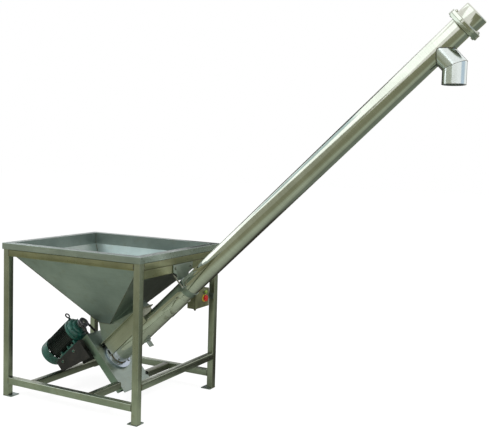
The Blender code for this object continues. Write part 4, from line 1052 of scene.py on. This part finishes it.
# pressed fan cover with three rings of slots and two screws
coverValues = {
    "wall": 0.0015, "corner": 0.016, "slotRings": 3, "firstRing": 0.018, "ringStep": 0.0145, "slot": 0.0095,
}
bm = bmesh.new()
wall = coverValues["wall"]
cover = motorValues["coverRadius"]
coverEnd = motorValues["coverEnd"]
start = motorValues["back"] - gap
corner = coverValues["corner"]
outerArc = []
innerArc = []
for step in range(7):
    angle = math.pi / 2 * step / 6
    along = coverEnd + corner - corner * math.sin(angle)
    reach = cover - corner + corner * math.cos(angle)
    outerArc.append((along, reach))
    innerArc.append((along + (wall if step > 2 else wall * 0.3), reach - (wall if step < 5 else wall * 0.3)))
profile = [(start, cover - wall), (start, cover), *outerArc, (coverEnd, 0.0), (coverEnd + wall, 0.0)]
profile += innerArc[::-1]
spinProfile(bm, profile, 88, motorFrame)
fanCover = finishPiece("fanCover", bm, motorGreen, "machine", ("fan_cover",), 35)
bm = bmesh.new()
for ring in range(coverValues["slotRings"]):
    reach = coverValues["firstRing"] + ring * coverValues["ringStep"]
    slots = 8 + ring * 5
    width = math.tau * reach / slots * 0.31
    low = (coverEnd - 0.004, -width, reach)
    high = (coverEnd + 0.004, width, reach + coverValues["slot"])
    for index in range(slots):
        turn = Matrix.Rotation(math.tau * index / slots, 4, "X")
        roundBox(bm, low, high, 0.0015, 1, motorFrame @ turn)
cutWith(fanCover, [cutterFrom(bm)])
bm = bmesh.new()
for degrees in (150, 270):
    angle = math.radians(degrees)
    outward = motorFrame.to_3x3() @ around(0, 1, angle)
    hexHead(bm, motorFrame @ around(start - 0.008, cover - 0.0002, angle), outward, 0.007, 0.0022, 0.0005)
finishPiece("fanCoverScrews", bm, boltZinc)

bm = bmesh.new()
shaftLow = coverEnd + 0.025
radius = motorValues["shaft"]
profile = [
    (shaftLow, 0.0), (shaftLow, radius - 0.001), (shaftLow + 0.001, radius),
    (shaftEnd - 0.001, radius), (shaftEnd, radius - 0.001), (shaftEnd, 0.0),
]
spinProfile(bm, profile, 40, motorFrame, False)
# the key under the pulley
low = (line["pulleyStation"] - 0.016, -0.003, radius - 0.002)
roundBox(bm, low, (shaftEnd - 0.004, 0.003, radius + 0.0001), 0.0006, 1, motorFrame)
finishPiece("motorShaft", bm, bearingSteel, "motor_rotor", ("motor_shaft",))

bm = bmesh.new()
start = coverEnd + 0.028
end = coverEnd + 0.050
profile = [(start, motorBore), (start, 0.022), (end, 0.026), (end, motorBore)]
spinProfile(bm, profile, 48, motorFrame)
for index in range(7):
    turn = Matrix.Rotation(math.tau * index / 7, 4, "X")
    roundBox(bm, (start + 0.001, -0.0013, 0.021), (end, 0.0013, 0.0615), 0.0008, 1, motorFrame @ turn)
finishPiece("motorFan", bm, blackPlastic, "motor_rotor", ("motor_fan",))

# feet with their bolts, and the bolts in the side of the bed
bm = bmesh.new()
footBottom = -motorValues["footHeight"] + gap
footStart = motorValues["footStart"]
footEnd = footStart + motorValues["footLength"]
ribs = [footStart + shift for shift in (0.002, 0.064, 0.126)]
boltStations = (footStart + 0.015, footEnd - 0.015)
for side in (-1, 1):
    # sole, ribs and the web between them
    blocks = [((footStart, 0.036, footBottom), (footEnd, motorValues["footReach"], footBottom + 0.010))]
    blocks += [((rib, 0.038, footBottom + 0.006), (rib + 0.012, 0.060, -0.052)) for rib in ribs]
    blocks += [((footStart + 0.001, 0.036, footBottom + 0.006), (footEnd - 0.001, 0.044, -0.060))]
    for low, high in blocks:
        low, high = Vector(low), Vector(high)
        if side < 0:
            low.y, high.y = -high.y, -low.y
        roundBox(bm, low, high, 0.0018, 2, motorFrame)
    for station in boltStations:
        place = motorFrame @ Vector((station, side * 0.0785, footBottom + 0.0098))
        hexHead(bm, place, -downLine, 0.0135, 0.0050, 0.0012, 1, 0.003)
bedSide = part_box("motor_bed")[0][1]
for station in boltStations:
    place = motorFrame @ Vector((station, 0.0, footBottom - 0.027))
    hexHead(bm, Vector((place.x, bedSide, place.z)), (0, -1, 0), 0.012, 0.0045, 0.0012, 1)
feet = ("motor_foot_front", "motor_foot_back")
finishPiece("motorFeet", bm, (motorGreen, boltZinc), "machine", feet)

boxLow = Vector((footStart, 0.0795, -0.040))
boxHigh = Vector((footStart + 0.090, 0.1265, 0.045))
bm = bmesh.new()
roundBox(bm, boxLow, (boxHigh.x, boxHigh.y - 0.010, boxHigh.z), 0.004, 3, motorFrame)
roundBox(bm, (boxLow.x, boxHigh.y - 0.009, boxLow.z), boxHigh, 0.003, 3, motorFrame)
for along in (boxLow.x + 0.009, boxHigh.x - 0.009):
    for rise in (boxLow.z + 0.009, boxHigh.z - 0.009):
        place = motorFrame @ Vector((along, boxHigh.y - 0.0008, rise))
        hexHead(bm, place, (0, 1, 0), 0.007, 0.0010, 0.0, 1)
finishPiece("terminalBox", bm, (motorGreen, boltZinc), "machine", ("terminal_box",))

bm = bmesh.new()
eyeStation = motorValues["front"] + 0.012
eyeFrame = motorFrame @ Matrix.Translation((eyeStation, 0, motorValues["radius"]))
profile = [
    (-0.0002, 0.0), (-0.0002, 0.0085), (-0.003, 0.0085), (-0.0045, 0.006), (-0.013, 0.0055), (-0.013, 0.0),
]
spinProfile(bm, profile, 28, eyeFrame @ quarterY, False)
eyeValues = {"wire": 0.0042, "ring": 0.014, "rise": 0.0250}
circle = [around(0, eyeValues["wire"], math.tau * k / 16) for k in range(16)]
circle = [(point.y, eyeValues["ring"] + point.z) for point in circle]
spinProfile(bm, circle, 40, eyeFrame @ Matrix.Translation((0, 0, eyeValues["rise"])))
finishPiece("eyeBolt", bm, shadedMotorGreen, "machine", ("eye_bolt",), 60)
print("motor made")


clampValues = {
    "width": 0.035, "band": 0.003, "lug": 0.030, "split": 0.001, "steps": 48, "knobShift": 0.0115,
    "knobRise": 0.095, "knobHeight": 0.034, "knobRadius": 0.0129, "lobes": 8, "lobeDepth": 0.10,
    "stud": 0.0048, "threads": 34,
    "railFace": 0.48, "plateHalf": 0.100, "plateNeck": 0.060, "plateThick": 0.006, "barHeight": 0.045,
}
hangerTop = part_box("tube_hanger")[1][2]
tubeOuter = line["tubeRadius"] + gap
bandOuter = tubeOuter + clampValues["band"]
# the band sits where the hanger plate's middle comes down on it
plateReach = clampValues["railFace"] + gap
station = plateReach + clampValues["plateThick"] / 2 + bandOuter * math.sin(incline)
station /= math.cos(incline)


def bevelRims(bm, width):
    # small edge radius on a pushed outline, which then goes to its place on the conveyor
    bmesh.ops.recalc_face_normals(bm, faces=bm.faces)
    rims = [edge for edge in bm.edges if edge.is_manifold and edge.calc_face_angle(0) > math.radians(60)]
    bevelEdges(bm, rims, width, 2)
    bmesh.ops.transform(bm, matrix=lineFrame, verts=bm.verts)


def arc(radius, low, high, steps):
    angles = [low + (high - low) * index / steps for index in range(steps + 1)]
    return [(radius * math.cos(angle), radius * math.sin(angle)) for angle in angles]


def bandHalf(bm, side):
    # half a band bent from flat bar, with a lug at each end
    split = clampValues["split"]
    reach = split + clampValues["band"]
    low = math.asin(split / tubeOuter)
    high = math.asin(reach / bandOuter)
    steps = clampValues["steps"]
    lug = bandOuter + clampValues["lug"]
    outline = arc(tubeOuter, low, math.pi - low, steps)
    outline += [(-lug, split), (-lug, reach)]
    outline += arc(bandOuter, math.pi - high, high, steps)
    outline += [(lug, reach), (lug, split)]
    start = station - clampValues["width"] / 2
    pushOutline(bm, [(start, y, side * z) for y, z in outline], (clampValues["width"], 0, 0))


def hangerPlate(bm):
    # plate lapped on the bar under the rail, narrow between the bar and the tube
    face = frameCentre.x + plateReach
    shoulder = hangerTop - clampValues["barHeight"]
    bottom = (lineFrame @ Vector((station, 0, tubeOuter))).z + 0.0015
    wide, neck, thick = (clampValues[key] for key in ("plateHalf", "plateNeck", "plateThick"))
    outline = [(-wide, hangerTop), (-wide, shoulder + 0.003), (-neck, shoulder - 0.012), (-neck, bottom)]
    outline += [(-y, z) for y, z in reversed(outline)]
    moved = pushOutline(bm, [(face, y, z) for y, z in outline], (thick, 0, 0))
    rims = [edge for edge in edgesOf(moved) if all(vert in moved for vert in edge.verts)]
    bevelEdges(bm, rims, 0.0008, 2)
    for y in (-0.080, 0.080):
        hexHead(bm, Vector((face + thick, y, hangerTop - 0.020)), (1, 0, 0), material=1)
    edge = face + thick + 0.0005
    weldLine(bm, (edge, -0.022, bottom + 0.0030), (edge, 0.022, bottom + 0.0030), 0.002)


for name, node, side in (("clampUpper", "tube_hanger", 1), ("clampLower", "clamp_band", -1)):
    bm = bmesh.new()
    bandHalf(bm, side)
    bevelRims(bm, 0.0005)
    if side > 0:
        hangerPlate(bm)
    finishPiece(name, bm, (crossSheet, boltZinc), "machine", (node,), 38)

lugMiddle = bandOuter + clampValues["lug"] * 0.4
lugTop = clampValues["split"] + clampValues["band"] + gap
bm = bmesh.new()
place = lineFrame @ Vector((station, lugMiddle, lugTop))
hexHead(bm, place, -downLine, 0.0140, 0.0058, 0.0012, 0, 0.0)
finishPiece("clampNut", bm, boltZinc, "machine", ("clamp_nut",))

knobFrame = lineFrame @ Matrix.Translation((station + clampValues["knobShift"], -lugMiddle, 0.0))
upFrame = knobFrame @ Matrix.Rotation(-math.pi / 2, 4, "Y")
bm = bmesh.new()
rise = clampValues["knobRise"]
top = rise + clampValues["knobHeight"]
grip = clampValues["knobRadius"]
stud = clampValues["stud"]
# collar, threaded stud, then the grip pressed in at its lobes
profile = [(lugTop, 0.0), (lugTop, 0.0070), (lugTop + 0.006, 0.0070), (lugTop + 0.007, stud)]
for index in range(clampValues["threads"]):
    place = lugTop + 0.008 + (rise - lugTop - 0.010) * index / clampValues["threads"]
    profile += [(place, stud), (place + 0.0012, stud - 0.0006)]
profile += [(rise, stud), (rise, 0.0)]
spinProfile(bm, profile, 24, upFrame, False, 1)
profile = [
    (rise, 0.0), (rise, 0.0075), (rise + 0.005, 0.0085), (rise + 0.008, grip - 0.0012), (rise + 0.011, grip),
    (top - 0.004, grip), (top - 0.0012, grip - 0.0015), (top, grip - 0.0045), (top, 0.0),
]
verts = spinProfile(bm, profile, 64, Matrix(), False, 0)
for vert in verts:
    reach = math.hypot(vert.co.y, vert.co.z)
    if reach > 0.008:
        angle = math.atan2(vert.co.z, vert.co.y)
        shrink = 1.0 - clampValues["lobeDepth"] * max(0.0, math.cos(angle * clampValues["lobes"])) ** 2
        vert.co.y *= shrink
        vert.co.z *= shrink
bmesh.ops.transform(bm, matrix=upFrame, verts=verts)
finishPiece("clampKnob", bm, (blackPlastic, boltZinc), "clamp_knob", ("clamp_knob",), 40)
print("clamp made")


doorValues = {
    "start": 0.520, "length": 0.150, "sheet": 0.002, "seam": -0.012, "pin": 0.0035, "steps": 40,
    "knuckles": 5, "knuckleInset": 0.012, "knuckleRadius": 0.0046, "screwStation": 0.595,
}
inner = line["tubeRadius"] + 2 * gap
outer = inner + doorValues["sheet"]
tilt = math.asin(-doorValues["seam"] / inner)
doorEdge = outer * math.cos(tilt)
hingeY = -(doorEdge + doorValues["pin"])
hingeFrame = lineFrame @ Matrix.Translation((0.0, hingeY, doorValues["seam"]))
bm = bmesh.new()
outline = arc(inner, math.pi + tilt, math.tau - tilt, doorValues["steps"])
outline += arc(outer, math.tau - tilt, math.pi + tilt, doorValues["steps"])
pushOutline(bm, [(doorValues["start"], y, z) for y, z in outline], (doorValues["length"], 0, 0))
bevelRims(bm, 0.0004)
knuckle = (doorValues["length"] - 2 * doorValues["knuckleInset"]) / doorValues["knuckles"]
for index in range(doorValues["knuckles"]):
    start = doorValues["start"] + doorValues["knuckleInset"] + knuckle * index + gap
    end = start + knuckle - 2 * gap
    radius = doorValues["knuckleRadius"]
    profile = roundedProfile([(start, 0.0), (start, radius), (end, radius), (end, 0.0)], 0.0006, 2)
    spinProfile(bm, profile[3:-3], 24, hingeFrame, False)
# tab for the screw, on the edge across from the hinge
tabY = doorEdge - hingeY
low = (doorValues["start"] + 0.050, tabY - 0.002, -0.006)
high = (doorValues["start"] + 0.100, tabY + 0.016, -0.003)
roundBox(bm, low, high, 0.0008, 2, hingeFrame)
finishPiece("cleanOutDoor", bm, tubeSteel, "clean_out_door", ("clean_out_door",), 38)

# wing screw that holds the door shut
bm = bmesh.new()
screwFrame = hingeFrame @ Matrix.Translation((doorValues["screwStation"], tabY + 0.008, -0.0063)) @ quarterY
profile = [(0.0, 0.0), (0.0, 0.0058), (0.0035, 0.0058), (0.005, 0.0040), (0.0155, 0.0036), (0.0157, 0.0)]
spinProfile(bm, profile, 28, screwFrame, False)
for side in (-1, 1):
    low, high = sorted((side * 0.0025, side * 0.0108))
    roundBox(bm, (0.0070, -0.0015, low), (0.0155, 0.0015, high), 0.0013, 3, screwFrame)
finishPiece("doorScrew", bm, boltZinc, "door_screw", ("door_screw",), 50)
softenNode("tube_lug", crossSheet, 0.0006)
softenNode("hanger_bar", shadedTopY, 0.0010)
print("door made")


switchValues = {"edge": 0.004, "lid": 0.014, "screwInset": 0.010, "seal": 0.002}
caseLow, caseHigh = (Vector(corner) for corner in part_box("switch_box"))
bm = bmesh.new()
split = caseHigh.x - switchValues["lid"]
roundBox(bm, caseLow, (split, caseHigh.y, caseHigh.z), switchValues["edge"], 3)
roundBox(bm, (split + 0.0006, caseLow.y, caseLow.z), (caseHigh.x - 0.0016, caseHigh.y, caseHigh.z), 0.003, 3)
seal = switchValues["seal"]
low = (split - seal, caseLow.y + seal, caseLow.z + seal)
high = (split + seal, caseHigh.y - seal, caseHigh.z - seal)
roundBox(bm, low, high, 0.001, 1, material=1)
inset = switchValues["screwInset"]
for y in (caseLow.y + inset, caseHigh.y - inset):
    for z in (caseLow.z + inset, caseHigh.z - inset):
        hexHead(bm, Vector((caseHigh.x - 0.0018, y, z)), (1, 0, 0), 0.0075, 0.0014, 0.0003, 2)
finishPiece("switchBox", bm, (boxPaint, blackPlastic, boltZinc), "machine", ("switch_box",))

buttonValues = {"stem": 0.0078, "sunk": 0.018, "dome": 0.0060, "collarBore": 0.0084, "travel": 0.0040}
for name, node, slot, finish, ringFinish, ringRadius in (
    ("stopButton", "stop_button", "red_plastic", redPlastic, yellowPlastic, 0.0235),
    ("startButton", "start_button", "green_plastic", greenPlastic, bearingSteel, 0.0145),
):
    low, high = (Vector(corner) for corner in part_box(node))
    centre = (low + high) / 2
    radius = (high.y - low.y) / 2
    matrix = Matrix.Translation((0.0, centre.y, centre.z))
    face = caseHigh.x
    stem = buttonValues["stem"]
    dome = buttonValues["dome"]
    foot = face - buttonValues["sunk"]
    profile = [(foot, 0.0), (foot, stem), (high.x - 0.0115, stem), (high.x - 0.0112, radius * 0.9),
               (high.x - 0.0100, radius), (high.x - dome, radius)]
    for step in range(1, 7):
        angle = math.pi / 2 * step / 6
        profile.append((high.x - dome + dome * math.sin(angle), radius * (0.35 + 0.65 * math.cos(angle))))
    profile.append((high.x, 0.0))
    bm = bmesh.new()
    spinProfile(bm, profile, 56, matrix, False)
    finishPiece(name, bm, finish, node, (node,), 45)
    # fixed collar round the stem, low enough for the pressed head
    bm = bmesh.new()
    ringBore = buttonValues["collarBore"]
    collar = [(face - 0.0017, ringBore), (face - 0.0017, ringRadius), (face - 0.0004, ringRadius),
              (face + 0.0006, ringRadius - 0.002), (face + 0.0016, 0.0115), (face + 0.0030, 0.0105),
              (face + 0.0030, ringBore)]
    collar = [(min(along, high.x - 0.0121 - buttonValues["travel"]), reach) for along, reach in collar]
    spinProfile(bm, collar, 56, matrix)
    finishPiece(name + "Collar", bm, ringFinish, "machine", smooth=40)

softenNode("switch_box_bar", hopperSheet, 0.0008)
low, high = (Vector(corner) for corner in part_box("cable_gland"))
centre = (low + high) / 2
bm = bmesh.new()
glandFrame = Matrix.Translation((centre.x, centre.y, high.z)) @ quarterY
depth = high.z - low.z
cylinder(bm, 0.0079, 0.005, 6, Matrix.Translation((centre.x, centre.y, high.z - 0.0026)))
profile = [(0.005, 0.0), (0.005, 0.0066), (0.0065, 0.0070), (0.012, 0.0068), (depth - 0.0006, 0.0048),
           (depth, 0.0042), (depth, 0.0030), (0.009, 0.0030), (0.009, 0.0)]
spinProfile(bm, profile, 36, glandFrame, False)
finishPiece("cableGland", bm, blackPlastic, "machine", ("cable_gland",), 40)
print("switch box made")


def flatSheet(name, size, matrix):
    # one rectangle, built in place
    bm = bmesh.new()
    bmesh.ops.create_grid(bm, x_segments=1, y_segments=1, size=0.5)
    bmesh.ops.scale(bm, vec=(size[0], size[1], 1.0), verts=bm.verts)
    bmesh.ops.transform(bm, matrix=matrix, verts=bm.verts)
    return placeMesh(bm, name)


def seenDirectly(tree):
    # 1 for the camera, reflections and see-through rays, 0 for the light that falls on the machine
    path = addNode(tree, "ShaderNodeLightPath").outputs
    either = mathNode(tree, "MAXIMUM", path["Is Camera Ray"], path["Is Glossy Ray"])
    return mathNode(tree, "MAXIMUM", either, path["Is Transmission Ray"])


# white surround: a floor that glows by itself for the eye but takes lamp light, and a plain white sky
studioValues = {
    "floor": "#f4f4f2", "size": 60.0, "height": -0.0005, "emission": 0.80, "glow": 1.13, "skyLight": 0.55,
    "skySeen": 1.0,
}
floorSize = (studioValues["size"], studioValues["size"])
floor = flatSheet("studioFloor", floorSize, Matrix.Translation((0.0, 0.0, studioValues["height"])))
material = bpy.data.materials.new("paleStudioFloor")
tree = emptyTree(material)
matte = addNode(tree, "ShaderNodeBsdfDiffuse", {"Color": toLinear(studioValues["floor"])})
glow = addNode(tree, "ShaderNodeEmission", {"Color": (1, 1, 1, 1), "Strength": studioValues["glow"]})
share = mathNode(tree, "MULTIPLY", seenDirectly(tree), studioValues["emission"])
both = addNode(tree, "ShaderNodeMixShader", None, {0: share, 1: matte.outputs[0], 2: glow.outputs[0]})
addNode(tree, "ShaderNodeOutputMaterial", None, {"Surface": both.outputs[0]})
floor.data.materials.append(material)

world = bpy.data.worlds.new("studioWorld")
tree = emptyTree(world)
soft, white = (
    addNode(tree, "ShaderNodeBackground", {"Color": (1, 1, 1, 1), "Strength": studioValues[key]})
    for key in ("skyLight", "skySeen")
)
feeds = {0: seenDirectly(tree), 1: soft.outputs[0], 2: white.outputs[0]}
both = addNode(tree, "ShaderNodeMixShader", None, feeds)
addNode(tree, "ShaderNodeOutputWorld", None, {"Surface": both.outputs[0]})
bpy.context.scene.world = world


def addLamp(name, place, target, size, power):
    lamp = bpy.data.lights.new(name, "AREA")
    lamp.shape = "RECTANGLE"
    lamp.size, lamp.size_y = size
    lamp.energy = power
    holder = bpy.data.objects.new(name, lamp)
    bpy.context.scene.collection.objects.link(holder)
    holder.visible_glossy = False  # the cards make the reflections
    aim = (Vector(place) - Vector(target)).to_track_quat("Z", "Y").to_matrix().to_4x4()
    holder.matrix_world = Matrix.Translation(place) @ aim


addLamp("keyLamp", (-2.6, -3.2, 3.6), (0.0, 0.0, 0.8), (2.4, 2.4), 150)
addLamp("fillLamp", (3.2, -2.8, 2.6), (0.2, 0.0, 0.9), (2.0, 2.0), 40)
addLamp("topLamp", (0.0, 0.6, 4.2), (0.0, 0.0, 0.8), (3.0, 2.0), 90)

# cards that only reflections see: dark hedges, grass and pale sky, which give round steel its bands
cardValues = (
    # name, middle, what it faces, size, colour, strength
    ("cardHedgeLow", (-1.6, 4.6, 1.9), (-0.2, 0.0, 1.9), (2.8, 3.8), "#26261f", 1.0),
    ("cardHedgeHigh", (-3.7, 3.3, 4.2), (-0.2, 0.0, 4.2), (2.4, 4.6), "#2c2c26", 1.0),
    ("cardBackRight", (1.9, 3.9, 0.8), (-0.1, 0.0, 0.8), (3.6, 1.6), "#868b7a", 1.0),
    ("cardFrontLeft", (-3.4, -4.9, 1.9), (0.2, 0.0, 1.9), (8.4, 3.8), "#a3a695", 1.0),
    ("cardFrontRight", (2.8, -7.2, 1.05), (0.6, 0.0, 1.05), (6.0, 2.1), "#8f9279", 1.0),
    ("cardSkyLeft", (-6.2, 0.6, 5.2), (0.2, 0.0, 1.4), (8.0, 9.0), "#f1f6f8", 1.8),
    ("cardSkyFront", (-3.6, -6.2, 6.4), (0.2, 0.0, 1.4), (11.0, 8.6), "#f1f6f8", 1.8),
    ("cardZenith", (-2.5, 0.0, 3.3), (-2.4, 0.0, 0.0), (2.0, 2.6), "#d3eaf2", 1.0),
    ("cardSideRight", (5.4, 0.6, 2.6), (0.8, 0.0, 1.7), (3.4, 2.8), "#c4d3e2", 1.0),
)


def hideFromAllButReflections(card):
    card.visible_camera = False
    card.visible_diffuse = False
    card.visible_transmission = False
    card.visible_shadow = False


def glowMaterial(name, strength=1.0):
    material = bpy.data.materials.new(name)
    tree = emptyTree(material)
    glow = addNode(tree, "ShaderNodeEmission", {"Strength": strength})
    addNode(tree, "ShaderNodeOutputMaterial", None, {"Surface": glow.outputs[0]})
    return material, tree, glow


def addCard(name, place, target, size, tone, strength):
    card = flatSheet(name, size, turnTo(place, Vector(target) - Vector(place)))
    material, tree, glow = glowMaterial(name, strength)
    feed(tree, glow.inputs["Color"], tone)
    card.data.materials.append(material)
    hideFromAllButReflections(card)


for values in cardValues:
    addCard(*values)

# ground as reflections see it: lit grass-grey in front, shaded behind the machine
groundValues = {
    "half": 20.0, "height": -0.0002, "shadeEnd": (0.50, 0.85), "shadeDepth": (0.1, 0.6), "beside": "#7b857a",
    "bands": ((-20.0, "#9c9e8e"), (-3.0, "#8b8d76"), (-1.6, "#8d9079"), (-0.7, "#b0baa9"), (0.0, "#9ba395"),
              (0.7, "#322f2a"), (2.2, "#4a4942"), (4.2, "#8a8e80"), (20.0, "#9a9e92")),
}
half = groundValues["half"]
ground = flatSheet("groundCard", (2 * half, 2 * half), Matrix.Translation((0, 0, groundValues["height"])))
material, tree, glow = glowMaterial("groundCard")
place = addNode(tree, "ShaderNodeTexCoord").outputs["Object"]
split = addNode(tree, "ShaderNodeSeparateXYZ", None, {0: place}).outputs
share = remap(tree, split[1], -half, half, 0.0, 1.0)
stops = [((level + half) / (2 * half), tone) for level, tone in groundValues["bands"]]
depths = colourBands(tree, share, stops)
beside = remap(tree, split[0], *groundValues["shadeEnd"], 0.0, 1.0)
behind = remap(tree, split[1], *groundValues["shadeDepth"], 0.0, 1.0)
beside = mathNode(tree, "MULTIPLY", beside, behind)
feed(tree, glow.inputs["Color"], mixColour(tree, beside, depths, groundValues["beside"]))
ground.data.materials.append(material)
hideFromAllButReflections(ground)

cameraValues = {
    "place": (2.7748, -3.6018, 1.4483), "yaw": 27.905, "pitch": 4.508, "roll": 1.691, "lens": 55.893,
}
yaw, pitch, roll = (math.radians(cameraValues[key]) for key in ("yaw", "pitch", "roll"))
forward = Vector((-math.sin(yaw) * math.cos(pitch), math.cos(yaw) * math.cos(pitch), -math.sin(pitch)))
right = Vector((math.cos(yaw), math.sin(yaw), 0.0))
up = right.cross(forward)
across = right * math.cos(roll) + up * math.sin(roll)
upward = up * math.cos(roll) - right * math.sin(roll)
lens = bpy.data.cameras.new("studioCamera")
lens.lens = cameraValues["lens"]
lens.sensor_width = 36.0
lens.sensor_fit = "HORIZONTAL"
lens.clip_end = 100.0
camera = bpy.data.objects.new("studioCamera", lens)
bpy.context.scene.collection.objects.link(camera)
aim = Matrix((across, upward, -forward)).transposed().to_4x4()
camera.matrix_world = Matrix.Translation(frameCentre + Vector(cameraValues["place"])) @ aim
bpy.context.scene.camera = camera
bpy.context.scene.view_settings.view_transform = "Standard"
print("studio ready")
